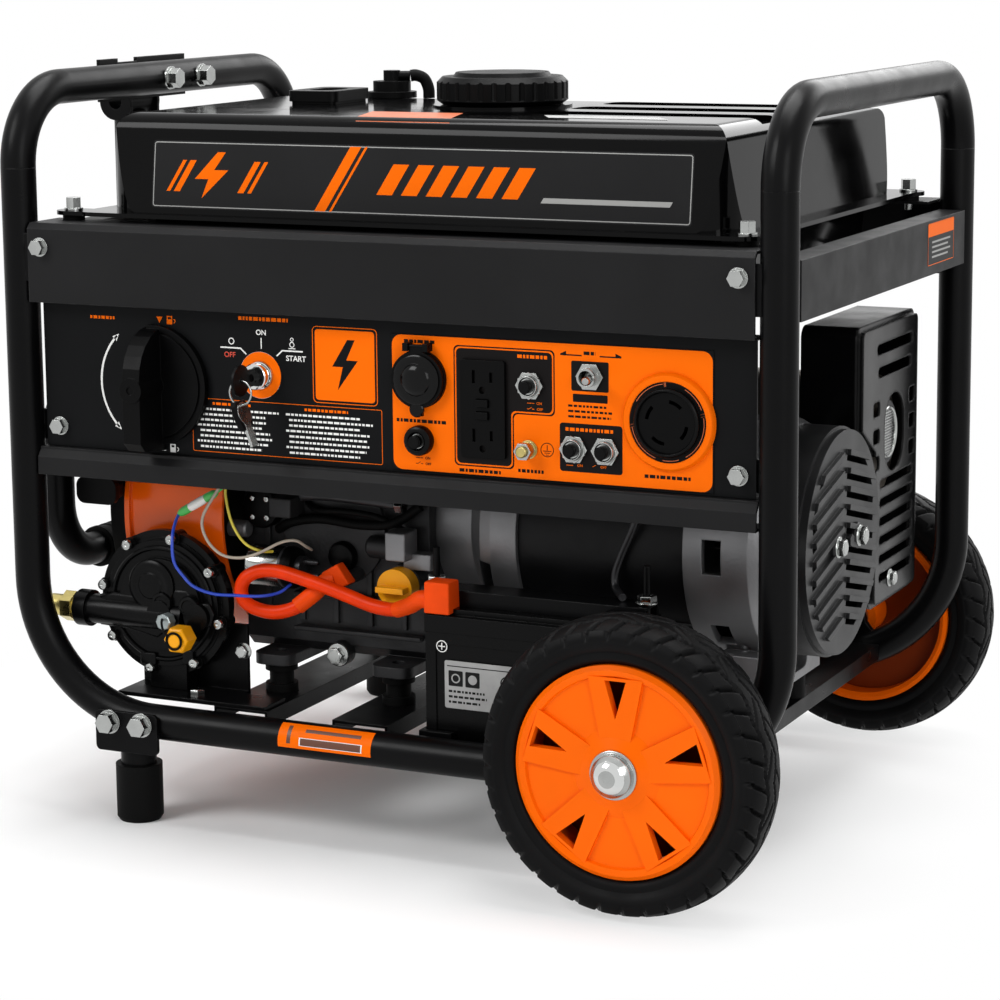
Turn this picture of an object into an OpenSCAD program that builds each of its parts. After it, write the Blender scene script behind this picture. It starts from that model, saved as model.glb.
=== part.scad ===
// Open-frame portable generator: tube frame, fuel tank, control panel, engine, alternator, wheels.
// Millimetres. X runs along the control panel to the right, Y to the rear, Z up, ground at z = 0.

/* [Frame] */
// Distance between the post axes along the panel
frame_length = 580; // [560:1:620]
// Distance between the post axes from front to rear
frame_depth = 390; // [380:1:420]
// Outside diameter of the frame tube
tube_d = 25.4; // [22:0.1:28]
// Height of the bottom rail's axis above the ground
rail_z = 74; // [70:1:84]
// Height of the top rail's axis above the bottom rail's axis
frame_rise = 454.5; // [450:0.5:480]
// Bend radius of the bottom corners
bottom_bend_r = 100; // [80:1:110]
// Bend radius of the top corners
top_bend_r = 55; // [40:1:60]
// Sheet thickness of channels, panel and brackets
sheet_t = 2; // [1.5:0.1:3]
// Height of the front beam's face
beam_h = 57; // [50:1:60]

/* [Wheels] */
// Outside diameter of the tyre
wheel_d = 202; // [190:1:206]
// Width of the tyre
tyre_w = 54; // [44:1:60]
// Diameter of the rim
rim_d = 143; // [130:1:150]
// Distance of the wheel axis inward from the right-hand posts
axle_inset = 82.5; // [75:0.5:100]
// Diameter of the axle
axle_d = 15; // [12:0.5:18]

/* [Tank] */
// Length of the tank's body at its flange
tank_l = 482; // [450:1:490]
// Depth of the tank's body at its flange
tank_w = 344; // [330:1:352]
// Height of the upper half above the flange
tank_h = 70; // [60:1:72]
// Depth of the lower half below the flange
tank_sump = 46; // [30:1:60]
// Wall of the tank halves
tank_wall = 3; // [2:0.5:4]
// Diameter of the fuel cap
cap_d = 96; // [88:1:110]
// Inside diameter of the filler neck
neck_d = 64; // [50:1:66]

/* [Control panel] */
// Height of the control panel
panel_h = 106; // [100:1:110]
// Diameter of the fuel selector knob
knob_d = 86; // [76:1:88]
// Diameter of the utility socket's cover
dc_cover_d = 40; // [36:1:42]
// Diameter of the twist-lock outlet's face
twist_d = 46; // [42:1:50]
// Diameter of the breaker buttons
breaker_d = 9; // [7:0.5:10]

/* [Engine and alternator] */
// Height of the crankshaft above the engine's feet
crank_rise = 106; // [100:1:112]
// Crankshaft's distance behind the middle of the frame (negative is to the front)
crank_y = -40; // [-44:1:-36]
// Diameter of the shaft
shaft_d = 24; // [20:1:30]
// Diameter of the alternator's end bells
bell_d = 170; // [160:1:172]
// Diameter of the fan shroud
shroud_d = 208; // [190:1:208]
// Number of cooling fins on the cylinder
fin_count = 8; // [6:1:9]
// Height of the rubber mounts
mount_h = 22; // [18:1:26]

/* [Handle] */
// Width of the handle loop between its arms' axes
loop_w = 234; // [200:1:240]
// Distance from the pivot down to the grip's axis
handle_reach = 342; // [320:1:350]
// Diameter of the handle's tube
handle_d = 25; // [22:0.5:28]

/* [Battery] */
// Length of the battery
battery_l = 151; // [145:1:152]
// Depth of the battery
battery_w = 63; // [60:1:66]
// Height of the battery
battery_h = 106; // [94:1:110]

/* [Hidden] */
$fn = 48;
run_gap = 0.05;       // radial clearance of a running fit
touch = 0.3;          // gap between pieces that seat against a curved face
far = 400;            // longer than any piece that a cut passes through

// ---- derived places ----
post_x = frame_length / 2;
post_y = frame_depth / 2;
tube_r = tube_d / 2;
top_z = rail_z + frame_rise;
post_top_z = top_z - top_bend_r;
inner_x = post_x - tube_r - touch;      // where a piece between the posts ends
inner_y = post_y - tube_r - touch;

beam_top_z = rail_z + 361;
beam_z = beam_top_z - beam_h;
beam_face_y = post_y + 11;              // front face of the beam, from the middle
beam_depth = 42;
side_z = beam_z + 10;
side_h = 40;
panel_y = post_y - 2;                   // front face of the panel
panel_z = beam_z - panel_h;
panel_l = 2 * (inner_x - 3);
rail_face_y = post_y + 7;               // rolled rail under the panel
rail_h = 20;
panel_rail_z = panel_z - rail_h - touch;

wheel_r = wheel_d / 2;
wheel_y = post_y + tube_r + 12.3;       // inner face of the tyre
wheel_out_y = wheel_y + tyre_w;
axle_r = axle_d / 2;
axle_x = post_x - axle_inset;
rim_r = rim_d / 2;
hub_r = 17;
hub_in = 8;                             // how far the hub stands out behind the tyre
hub_nut_r = 14;

flange_z = beam_top_z + 4;
flange_t = 3;
tank_z = flange_z + flange_t;
tank_x = tank_l / 2 - (inner_x - 45);    // left end and front stay put when the tank grows
tank_y = tank_w / 2 - (post_y - 21);
tank_top_z = tank_z + tank_h;
cap_x = 8;
cap_y = -10;
cap_z = tank_top_z + 1.5;
bolt_x = inner_x - 18;
bolt_y = post_y - 23;

crank_z = rail_z + 13 + mount_h + crank_rise;
member_top_z = rail_z + 13;
foot_z = member_top_z + mount_h;
shaft_r = shaft_d / 2;
bell_r = bell_d / 2;
shroud_r = shroud_d / 2;

// stations along the crankshaft
recoil_x = -262;
shroud_x = -240;
case_x0 = -158;
case_x1 = -6;
stator_x0 = 69;
stator_x1 = 195;
cover_x0 = 250;
cover_x1 = 282;

pivot_x = -(post_x + 28);
pivot_z = top_z - 18.5;
grip_z = pivot_z - handle_reach;
handle_r = handle_d / 2;

battery_x = 23;
battery_y = -(inner_y - 6);
battery_z = rail_z - 7;
battery_top_z = battery_z + battery_h;

// the bounding box's middle is the origin in X
grip_r = 16;
shift_x = -((pivot_x - grip_r) + (axle_x + wheel_r)) / 2;

// ---- helpers ----
module placed() { translate([shift_x, 0, 0]) children(); }

// a cylinder along X from x0 to x1 on the axis (y, z)
module x_rod(x0, x1, y, z, r) {
    translate([x0, y, z]) rotate([0, 90, 0]) cylinder(h = x1 - x0, r = r);
}
// a cylinder along Y from y0 to y1 on the axis (x, z)
module y_rod(y0, y1, x, z, r) {
    translate([x, y0, z]) rotate([-90, 0, 0]) cylinder(h = y1 - y0, r = r);
}
// a box given by two corners
module span(a, b) { translate(a) cube([b[0] - a[0], b[1] - a[1], b[2] - a[2]]); }

// a profile drawn in Y and Z, extruded along X from x0 to x1
module x_profile(x0, x1) {
    translate([x0, 0, 0]) rotate([90, 0, 90]) linear_extrude(height = x1 - x0) children();
}
// a profile drawn in X and Z, extruded along Y from y0 to y1
module y_profile(y0, y1) {
    translate([0, y1, 0]) rotate([90, 0, 0]) linear_extrude(height = y1 - y0) children();
}
// a quarter bend of tube in the XY plane, centred at the origin, from angle a0 on
module bend(r, tube, a0, sweep = 90) {
    rotate([0, 0, a0]) rotate_extrude(angle = sweep) translate([r, 0]) circle(r = tube);
}
// a rectangle with round corners, centred
module rounded(l, w, r) {
    union() {
        square([l - 2 * r, w], center = true);
        square([l, w - 2 * r], center = true);
        for (i = [-1, 1], j = [-1, 1]) translate([i * (l / 2 - r), j * (w / 2 - r)]) circle(r = r);
    }
}
module hex(across, h) { cylinder(h = h, r = across / sqrt(3), $fn = 6); }
// a flange bolt's head pointing along +Z, seated at the origin
module bolt_head(across = 10, h = 6) {
    cylinder(h = 1.5, r = across * 0.68);
    translate([0, 0, 1.5]) hex(across, h - 1.5);
}
module facing_front() { rotate([90, 0, 0]) children(); }

// a tube swept through points, sides faces round
function unit(v) = v / norm(v);
function tangent(p, i) = unit(p[min(i + 1, len(p) - 1)] - p[max(i - 1, 0)]);
function side_of(t, up) = unit(cross(t, up));
function ring(p, i, r, sides, up) =
    let (t = tangent(p, i), a = side_of(t, up), b = cross(a, t))
    [for (k = [0 : sides - 1]) p[i] + r * (cos(360 * k / sides) * a + sin(360 * k / sides) * b)];
module sweep(p, r, sides = 8, up = [0.13, 0.21, 0.97]) {
    n = len(p);
    pts = [for (i = [0 : n - 1]) each ring(p, i, r, sides, up)];
    walls = [for (i = [0 : n - 2], k = [0 : sides - 1])
        let (a = i * sides + k, b = i * sides + (k + 1) % sides) [a, b, b + sides, a + sides]];
    caps = [[for (k = [0 : sides - 1]) sides - 1 - k], [for (k = [0 : sides - 1]) (n - 1) * sides + k]];
    polyhedron(points = pts, faces = concat(walls, caps), convexity = 6);
}
// a smooth run through hand-set points, with steps rings between each pair
function knot(p, i) = p[max(0, min(len(p) - 1, i))];
function spline_at(p, i, t) = 0.5 * (2 * knot(p, i) + (knot(p, i + 1) - knot(p, i - 1)) * t
    + (2 * knot(p, i - 1) - 5 * knot(p, i) + 4 * knot(p, i + 1) - knot(p, i + 2)) * t * t
    + (3 * knot(p, i) - knot(p, i - 1) - 3 * knot(p, i + 1) + knot(p, i + 2)) * t * t * t);
function spline(p, steps) = concat(
    [for (i = [0 : len(p) - 2], k = [0 : steps - 1]) spline_at(p, i, k / steps)], [p[len(p) - 1]]);

// ---- frame ----
module u_tube() {
    for (s = [-1, 1]) translate([s * post_x, 0, rail_z + bottom_bend_r])
        cylinder(h = post_top_z - rail_z - bottom_bend_r, r = tube_r);
    x_rod(-(post_x - bottom_bend_r), post_x - bottom_bend_r, 0, rail_z, tube_r);
    translate([post_x - bottom_bend_r, 0, rail_z + bottom_bend_r]) rotate([90, 0, 0])
        bend(bottom_bend_r, tube_r, 270);
    translate([-(post_x - bottom_bend_r), 0, rail_z + bottom_bend_r]) rotate([90, 0, 0])
        bend(bottom_bend_r, tube_r, 180);
}
// welded ears that carry the beam, and the axle's upright plate
ear_l = 28;
module beam_ears(y0, z0, h) {
    for (s = [-1, 1]) translate([s * (inner_x - ear_l / 2 + 3), y0, z0 + h / 2])
        cube([ear_l + 6, 3, h], center = true);
}
module axle_ear() {
    difference() {
        union() {
            y_profile(-3, 3) polygon([[axle_x - 30, rail_z + 8], [axle_x - 15, wheel_r], [axle_x + 15, wheel_r],
                [axle_x + 30, rail_z + 8]]);
            y_rod(-3, 3, axle_x, wheel_r, 15);
        }
        y_rod(-5, 5, axle_x, wheel_r, axle_r + run_gap);
    }
}
module front_frame_tube() {
    color("#1c1c1e") placed() translate([0, -post_y, 0]) {
        u_tube();
        beam_ears(-(beam_face_y - post_y) + sheet_t + 1.5 + touch, beam_z + 15, beam_h - 23);
        beam_ears(2 + sheet_t + 1.5 + touch, panel_z + 4, 22);
        axle_ear();
    }
}
module rear_frame_tube() {
    color("#1c1c1e") placed() translate([0, post_y, 0]) mirror([0, 1, 0]) {
        u_tube();
        beam_ears(-(beam_face_y - post_y) + sheet_t + 1.5 + touch, beam_z + 15, beam_h - 23);
        axle_ear();
    }
}
module top_tube() {
    y_rod(-(post_y - top_bend_r), post_y - top_bend_r, 0, top_z, tube_r);
    for (s = [0, 1]) mirror([0, s, 0]) translate([0, post_y - top_bend_r, post_top_z])
        rotate([90, 0, 90]) bend(top_bend_r, tube_r, 0);
}
module top_frame_tubes() {
    color("#1c1c1e") placed() for (s = [-1, 1]) translate([s * post_x, 0, 0]) top_tube();
}
// beam section in Y and Z, open to the inside, with a chamfered upper edge
beam_lip = 12;
beam_bevel = 4;
module beam_section() {
    f = -beam_face_y;
    polygon([[f, beam_z], [f, beam_top_z - beam_bevel], [f + beam_bevel, beam_top_z], [f + beam_depth, beam_top_z],
        [f + beam_depth, beam_top_z - sheet_t], [f + beam_bevel + sheet_t / 2, beam_top_z - sheet_t],
        [f + sheet_t, beam_top_z - beam_bevel - sheet_t / 2], [f + sheet_t, beam_z + sheet_t],
        [f + beam_lip, beam_z + sheet_t], [f + beam_lip, beam_z]]);
}
side_lip = 20;
module side_section() {
    f = post_x + 10;
    polygon([[f, side_z], [f, side_z + side_h], [f - side_lip, side_z + side_h],
        [f - side_lip, side_z + side_h - sheet_t], [f - sheet_t, side_z + side_h - sheet_t],
        [f - sheet_t, side_z + sheet_t], [f - side_lip, side_z + sheet_t], [f - side_lip, side_z]]);
}
module panel_rail_section() {
    f = -rail_face_y;
    z = panel_rail_z;
    polygon([[f, z], [f, z + 13], [f + 4, z + 18], [f + 4, z + rail_h], [f + 22, z + rail_h],
        [f + 22, z + rail_h - sheet_t], [f + 4 + sheet_t, z + rail_h - sheet_t], [f + 4 + sheet_t, z + 17],
        [f + sheet_t, z + 12.3], [f + sheet_t, z + sheet_t], [f + 22, z + sheet_t], [f + 22, z]]);
}
module frame_channels() {
    color("#232325") placed() {
        difference() {
            x_profile(-inner_x, inner_x) beam_section();
            for (s = [-1, 1]) {
                y_rod(-beam_face_y - 5, -beam_face_y + 5, s * (inner_x - 11), beam_top_z - 17, 3.3);
                translate([s * bolt_x, -bolt_y, beam_top_z - 5]) cylinder(h = 10, r = tank_bolt_r + touch);
            }
        }
        mirror([0, 1, 0]) difference() {
            x_profile(-inner_x, inner_x) beam_section();
            for (s = [-1, 1]) translate([s * bolt_x, -bolt_y, beam_top_z - 5]) cylinder(h = 10, r = tank_bolt_r + touch);
        }
        for (s = [0, 1]) mirror([s, 0, 0]) y_profile(-inner_y, inner_y) side_section();
        x_profile(-inner_x, inner_x) panel_rail_section();
    }
}
// inverted channels from rail to rail under the engine and the alternator
member_w = 44;
member_xs = [-124, -27, axle_x + 7.5];
module cross_members() {
    color("#1c1c1e") placed() for (x = member_xs) difference() {
        span([x - member_w / 2, -inner_y, member_top_z - 12], [x + member_w / 2, inner_y, member_top_z]);
        span([x - member_w / 2 + sheet_t, -inner_y - 1, member_top_z - 13],
            [x + member_w / 2 - sheet_t, inner_y + 1, member_top_z - sheet_t]);
    }
}
leg_x = 203;
leg_tube_r = 13;
foot_h = 42;
foot_cup = 24;                          // depth of the tube inside the rubber foot
leg_plate_w = 52;
leg_bolt_gap = 27;
module support_leg() {
    difference() {
        y_profile(-tube_r - touch - 3, -tube_r - touch) translate([0, rail_z - 6]) rounded(leg_plate_w, 30, 4);
        for (s = [-1, 1]) y_rod(-tube_r - 5, -tube_r + 1, s * leg_bolt_gap / 2, rail_z + 1, 4.2);
    }
    difference() {
        translate([0, 0, foot_h - foot_cup]) cylinder(h = rail_z - tube_r - touch - foot_h + foot_cup, r = leg_tube_r);
        translate([0, 0, foot_h - foot_cup - 1]) cylinder(h = foot_cup + 3, r = leg_tube_r - 2);
    }
}
module support_legs() {
    color("#1c1c1e") placed() {
        translate([-leg_x, -post_y, 0]) support_leg();
        translate([-leg_x, post_y, 0]) mirror([0, 1, 0]) support_leg();
    }
}
module rubber_feet() {
    color("#111111") placed() for (s = [-1, 1]) translate([-leg_x, s * post_y, 0]) difference() {
        union() {
            translate([0, 0, 3]) cylinder(h = foot_h - 3, r = leg_tube_r + 4);
            cylinder(h = 3, r1 = leg_tube_r + 2, r2 = leg_tube_r + 4);
        }
        translate([0, 0, foot_h - foot_cup]) cylinder(h = foot_cup + 1, r = leg_tube_r + run_gap);
    }
}

// hexagon bolts and nuts on the frame: beam, panel, tank corners, legs, handle bracket
bracket_bolts = [-6, 40];
tank_bolt_r = 3;
panel_bolt_x = inner_x - 15;
panel_bolt_z = panel_z + 15;
module frame_bolts() {
    color("silver") placed() {
        for (s = [-1, 1]) {
            translate([s * (inner_x - 11), -beam_face_y, beam_top_z - 17]) facing_front() {
                bolt_head(10, 7);
                translate([0, 0, -sheet_t]) cylinder(h = sheet_t, r = tank_bolt_r);
            }
            translate([s * panel_bolt_x, -panel_y, panel_bolt_z]) facing_front() bolt_head(10, 7);
        }
        for (i = [-1, 1], j = [-1, 1]) translate([i * bolt_x, j * bolt_y, tank_z]) {
            bolt_head(10, 9);
            translate([0, 0, -14]) cylinder(h = 14, r = tank_bolt_r);
        }
        for (s = [-1, 1]) translate([-leg_x + s * leg_bolt_gap / 2, 0, rail_z + 1]) {
            translate([0, -post_y - tube_r - touch - 3, 0]) facing_front() bolt_head(13, 9);
            translate([0, post_y + tube_r + touch + 3, 0]) mirror([0, 1, 0]) facing_front() bolt_head(13, 9);
        }
        for (y = bracket_bolts) translate([-post_x + tube_r + touch, y, top_z]) rotate([0, 90, 0]) bolt_head(13, 9);
    }
}

// ---- wheels ----
axle_end_y = wheel_out_y + 1;
module axle() {
    color("silver") placed() {
        y_rod(-axle_end_y, axle_end_y, axle_x, wheel_r, axle_r);
        for (s = [0, 1]) mirror([0, s, 0])
            y_rod(-(wheel_y - hub_in - touch), -(post_y + 3 + touch), axle_x, wheel_r, axle_r + 3.5);
        for (s = [0, 1]) mirror([0, s, 0]) translate([axle_x, -axle_end_y, wheel_r]) rotate([90, 0, 0]) {
            cylinder(h = 2, r = hub_nut_r + 1);
            translate([0, 0, 2]) cylinder(h = 3, r = hub_nut_r);
            translate([0, 0, 5]) intersection() {
                translate([0, 0, -10]) sphere(r = sqrt(hub_nut_r * hub_nut_r + 100));
                cylinder(h = 10, r = hub_nut_r);
            }
        }
    }
}
// tyre with a crowned tread, shoulder lugs and a circumferential groove
lug_count = 30;
module tyre() {
    w = tyre_w / 2;
    difference() {
        rotate([90, 0, 0]) rotate_extrude() polygon(concat(
            [[rim_r + touch, -w + 8], [rim_r + 5, -w + 2], [wheel_r - 14, -w]],
            [for (a = [-60 : 15 : 60]) [wheel_r - 14 + 14 * cos(a), (w - 12) * (a / 60) + 12 * sin(a) * 0.98]],
            [[wheel_r - 14, w], [rim_r + 5, w - 2], [rim_r + touch, w - 8]]));
        rotate([90, 0, 0]) rotate_extrude() translate([wheel_r, 0]) circle(r = 3);
        for (i = [0 : lug_count - 1], s = [-1, 1]) rotate([0, i * 360 / lug_count, 0])
            translate([wheel_r - 5, s * w, 0]) rotate([0, 0, s * 35]) cube([14, 20, 4], center = true);
    }
}
// five twin spokes over a dished web with windows
spoke_pairs = 5;
module rim() {
    w = tyre_w / 2;
    difference() {
        union() {
            rotate([90, 0, 0]) rotate_extrude() polygon([
                [axle_r + run_gap, -w - hub_in], [hub_r, -w - hub_in], [hub_r, w - 12], [30, w - 9], [rim_r - 9, w - 9],
                [rim_r - 6, w - 12], [rim_r - 6, -w + 5], [rim_r - 3, -w + 3], [rim_r, -w + 3],
                [rim_r, w - 4], [rim_r - 3, w - 1.5], [rim_r - 7, w - 3], [rim_r - 8, w - 5],
                [30, w - 4.5], [hub_r, w + 0.7], [axle_r + run_gap, w + 0.7]]);
            for (k = [0 : spoke_pairs - 1]) rotate([0, k * 360 / spoke_pairs - 90, 0])
                translate([0, 8 - w, 0]) rotate([90, 0, 0]) linear_extrude(height = 5.8)
                    polygon([[hub_r - 3, -9], [rim_r - 8, -19], [rim_r - 8, 19], [hub_r - 3, 9]]);
        }
        for (k = [0 : spoke_pairs - 1]) rotate([0, k * 360 / spoke_pairs - 90, 0])
            translate([0, 15 - w, 0]) rotate([90, 0, 0]) linear_extrude(height = 20)
                polygon([[36, 0], [rim_r - 10, 7.5], [rim_r - 10, -7.5]]);
    }
}
module front_wheel() { translate([axle_x, -(wheel_y + tyre_w / 2), wheel_r]) children(); }
module rear_wheel() { translate([axle_x, wheel_y + tyre_w / 2, wheel_r]) mirror([0, 1, 0]) children(); }
module front_tyre() { color("#161616") placed() front_wheel() tyre(); }
module front_rim() { color("#f07a10") placed() front_wheel() rim(); }
module rear_tyre() { color("#161616") placed() rear_wheel() tyre(); }
module rear_rim() { color("#f07a10") placed() rear_wheel() rim(); }

// ---- handle ----
pin_r = 8;
ear_gap = 36;
ear_t = 3;
module handle_bracket() {
    px = -post_x - tube_r - touch;
    color("#1c1c1e") placed() {
        difference() {
            union() {
                span([px - ear_t, -64, top_z - 16], [px, 58, top_z + 16]);
                for (s = [-1, 1]) translate([0, s * (ear_gap + ear_t) / 2, 0]) {
                    y_rod(-ear_t / 2, ear_t / 2, pivot_x, pivot_z, 14);
                    span([pivot_x, -ear_t / 2, pivot_z - 9], [px - ear_t / 2, ear_t / 2, pivot_z + 14]);
                }
            }
            span([px - 5, -39, top_z + 13], [px + 1, -12, top_z + 20]);
            y_rod(-30, 30, pivot_x, pivot_z, pin_r);
        }
        difference() {
            y_rod(-ear_gap / 2 - ear_t, ear_gap / 2 + ear_t, pivot_x, pivot_z, pin_r);
            y_rod(-30, 30, pivot_x, pivot_z, pin_r - 2.5);
        }
    }
}
loop_bend_r = 45;
loop_h = 132;
module handle_tube() {
    arm = loop_w / 2;
    color("#1c1c1e") placed() translate([pivot_x, 0, 0]) {
        difference() {
            union() {
                y_rod(-ear_gap / 2 + 0.5, ear_gap / 2 - 0.5, 0, pivot_z, handle_r - 1);
                translate([0, 0, grip_z + loop_h]) cylinder(h = handle_reach - loop_h - 8, r = handle_r);
            }
            y_rod(-ear_gap, ear_gap, 0, pivot_z, pin_r + run_gap);
        }
        y_rod(-(arm - loop_bend_r), arm - loop_bend_r, 0, grip_z, handle_r);
        y_rod(-(arm - loop_bend_r), arm - loop_bend_r, 0, grip_z + loop_h, handle_r);
        for (s = [-1, 1]) {
            translate([0, s * arm, grip_z + loop_bend_r]) cylinder(h = loop_h - 2 * loop_bend_r, r = handle_r);
        }
        for (s = [0, 1], t = [0, 1]) mirror([0, s, 0])
            translate([0, arm - loop_bend_r, grip_z + loop_bend_r + t * (loop_h - 2 * loop_bend_r)])
                mirror([0, 0, 1 - t]) rotate([90, 0, 90]) bend(loop_bend_r, handle_r, 0);
    }
}
grip_half = 66;
module handle_grip() {
    color("#0d0d0d") placed() difference() {
        union() {
            y_rod(-grip_half, grip_half, pivot_x, grip_z, grip_r - 1);
            for (s = [-1, 1]) y_rod(s * (grip_half - 3) - 2, s * (grip_half - 3) + 2, pivot_x, grip_z, grip_r);
            for (y = [-50 : 10 : 50]) y_rod(y - 2, y + 2, pivot_x, grip_z, grip_r - 0.3);
        }
        y_rod(-grip_half - 5, grip_half + 5, pivot_x, grip_z, handle_r);
    }
}

// ---- fuel tank ----
tank_r = 26;                            // plan radius of the body's vertical corners
shoulder_r = 14;
draft = 7;                              // how far the wall leans in over its height
crown_y = 60;                           // the top is level up to here and then falls to the rear
rear_drop = 7;
// half width a at the flange, height h, shoulder radius r, fall of the top behind the crown
module tank_arch(a, h, r, drop = 0) {
    b = a - draft - r;
    polygon([[-a, -0.01], [a, -0.01], [a - draft, h - drop - r], [b, h - drop],
        [drop > 0 ? crown_y - tank_y : 0, h], [-b, h], [-(a - draft), h - r]]);
    translate([-b, h - r]) circle(r = r);
    translate([b, h - drop - r]) circle(r = r);
}
// a drafted shell block: plan, front view and side view meet
module tank_block(l, w, h, r, rs, drop = 0) {
    intersection() {
        linear_extrude(height = h) rounded(l, w, r);
        y_profile(-w, w) tank_arch(l / 2, h, rs);
        x_profile(-l, l) tank_arch(w / 2, h, rs, drop);
    }
}
// the flange follows the body, and two strips reach the beam's bolts
module flange_plan() {
    rounded(tank_l + 34, tank_w + 24, 12);
    for (j = [-1, 1]) translate([-tank_x, j * bolt_y - tank_y]) rounded(2 * (bolt_x + 12), 23, 11);
}
module flange_bores() {
    for (i = [-1, 1], j = [-1, 1]) translate([i * bolt_x - tank_x, j * bolt_y - tank_y, flange_z - 5])
        cylinder(h = 20, r = tank_bolt_r + touch);
}
// stiffening recesses in the right half of the top, run out over the end
rib_x0 = 60;
rib_ys = [-73, -15, 43];
module tank_upper() {
    rib_l = tank_l / 2 + 20 - rib_x0;
    color("#f2740c") placed() translate([tank_x, tank_y, 0]) difference() {
        union() {
            translate([0, 0, tank_z]) tank_block(tank_l, tank_w, tank_h, tank_r, shoulder_r, rear_drop);
            translate([0, 0, flange_z + flange_t / 2]) linear_extrude(height = flange_t / 2) flange_plan();
            translate([cap_x - tank_x, cap_y - tank_y, tank_top_z - 3]) cylinder(h = 4.5, r = cap_d / 2 + 3);
            translate([cap_x - tank_x, cap_y - tank_y, tank_top_z - 2]) cylinder(h = 10, r = neck_d / 2 + 4);
        }
        difference() {
            translate([0, 0, tank_z - flange_t])
                tank_block(tank_l - 2 * tank_wall, tank_w - 2 * tank_wall, tank_h - tank_wall + flange_t,
                    tank_r - tank_wall, shoulder_r - tank_wall, rear_drop);
            for (y = rib_ys) translate([rib_x0 + rib_l / 2 - 4, y - tank_y, tank_top_z - 5 - tank_wall])
                linear_extrude(height = 9) rounded(rib_l + 4, 42, 12);
        }
        for (y = rib_ys) translate([rib_x0 + rib_l / 2, y - tank_y, tank_top_z - 4])
            linear_extrude(height = 6) rounded(rib_l, 34, 10);
        translate([cap_x - tank_x, cap_y - tank_y, tank_top_z - 10]) cylinder(h = 30, r = neck_d / 2);
        translate([valve_x - tank_x, valve_y - tank_y, tank_top_z - 14]) cylinder(h = 24, r = 9);
        flange_bores();
    }
}
sump_in = 24;
outlet_x = -150;
module tank_lower() {
    color("#f2740c") placed() translate([tank_x, tank_y, 0]) difference() {
        union() {
            translate([0, 0, flange_z + flange_t / 2]) mirror([0, 0, 1])
                tank_block(tank_l - 20, tank_w - 2 * sump_in, tank_sump, tank_r, shoulder_r);
            translate([0, 0, flange_z]) linear_extrude(height = flange_t / 2) flange_plan();
            translate([outlet_x + 3 - tank_x, 60 - tank_y, flange_z - tank_sump - 12]) cylinder(h = 20, r = 8);
        }
        translate([0, 0, flange_z + flange_t / 2 + 0.01]) mirror([0, 0, 1])
            tank_block(tank_l - 20 - 2 * tank_wall, tank_w - 2 * sump_in - 2 * tank_wall, tank_sump - tank_wall,
                tank_r - tank_wall, shoulder_r - tank_wall);
        flange_bores();
    }
}
cap_h = 20;
module fuel_cap() {
    r = cap_d / 2;
    color("#161616") placed() translate([cap_x, cap_y, tank_top_z + 1.5 + touch]) {
        difference() {
            rotate_extrude() polygon([[0, 10], [neck_d / 2 + 4 + touch, 10], [neck_d / 2 + 4 + touch, 0], [r - 4, 0],
                [r, 3], [r, cap_h - 4], [r - 4, cap_h], [r - 12, cap_h], [r - 14, cap_h + 3], [0, cap_h + 3]]);
            for (a = [0 : 12 : 348]) rotate([0, 0, a]) translate([r + 1.6, 0, 4]) cylinder(h = cap_h, r = 2.8, $fn = 10);
        }
    }
}
valve_x = -120;
valve_y = 62;
module vapour_valve() {
    color("#1a1a1a") placed() translate([valve_x, valve_y, tank_top_z]) {
        rotate_extrude() polygon([[0, -9], [8.5, -9], [8.5, 0.2], [19, 0.2], [19, 5], [14.5, 5], [14.5, 13], [6.5, 13],
            [6.5, 21], [0, 21]]);
        translate([0, 0, 16.7]) rotate([0, 90, 25]) cylinder(h = 14, r = 3.8);
    }
}
gauge_x = -137;
gauge_y = -8;
module fuel_gauge() {
    color("#1a1a1a") placed() translate([gauge_x, gauge_y, tank_top_z]) {
        difference() {
            union() {
                linear_extrude(height = 2) rounded(37, 55, 5);
                translate([0, 0, 2]) linear_extrude(height = 8) rounded(41, 59, 7);
            }
            translate([0, 0, 6]) linear_extrude(height = 6) rounded(22, 34, 9);
        }
        translate([0, 0, 5]) linear_extrude(height = 1) rounded(8, 20, 2);
    }
}
// vapour hose from the valve's elbow behind the cap, and the fuel hose below the tank
hose_route = [[-107, 68.1, 528.7], [-103, 70, 529], [-97.5, 72.5, 526.2], [-94.6, 73.8, 519], [-94.3, 74, 511.5]];
fuel_route = [[-147, 60, 380], [-147, 60.3, 374], [-146, 68, 364], [-143, 80, 352], [-141, 90, 345.2],
    [-141, 97.2, 344.4]];
module rubber_hoses() {
    color("#121212") placed() translate([0, 0, tank_top_z - 512]) {
        sweep(spline(hose_route, 4), 4.5, 10, [-0.4, 0.9, 0.1]);
        sweep(spline(fuel_route, 3), 4, 8, [0.9, 0.1, 0.2]);
    }
}

// ---- control panel ----
knob_at = [-180, 50];
ignition_at = [-93.5, 61.5];
dc_at = [31, 66];
dc_breaker_at = [30.5, 23.5];
gfci_at = [79, 48];
ac_breaker_at = [113.5, 66];
toggle_at = [157.5, 74.5];
main_left_at = [145.5, 25];
main_right_at = [168.5, 25];
ground_at = [112, 22.5];
twist_at = [213.5, 47.5];
gfci_l = 33;
gfci_h = 67;
plate_t = 0.8;                          // raised coloured field under the outlets
breaker_r = breaker_d / 2;
bush_r = breaker_r + 2.5;               // threaded bush of a breaker, through the panel
knob_r = knob_d / 2;
spindle_r = 6;
barrel_r = 8.5;
dc_r = dc_cover_d / 2;
twist_r = twist_d / 2;
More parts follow.
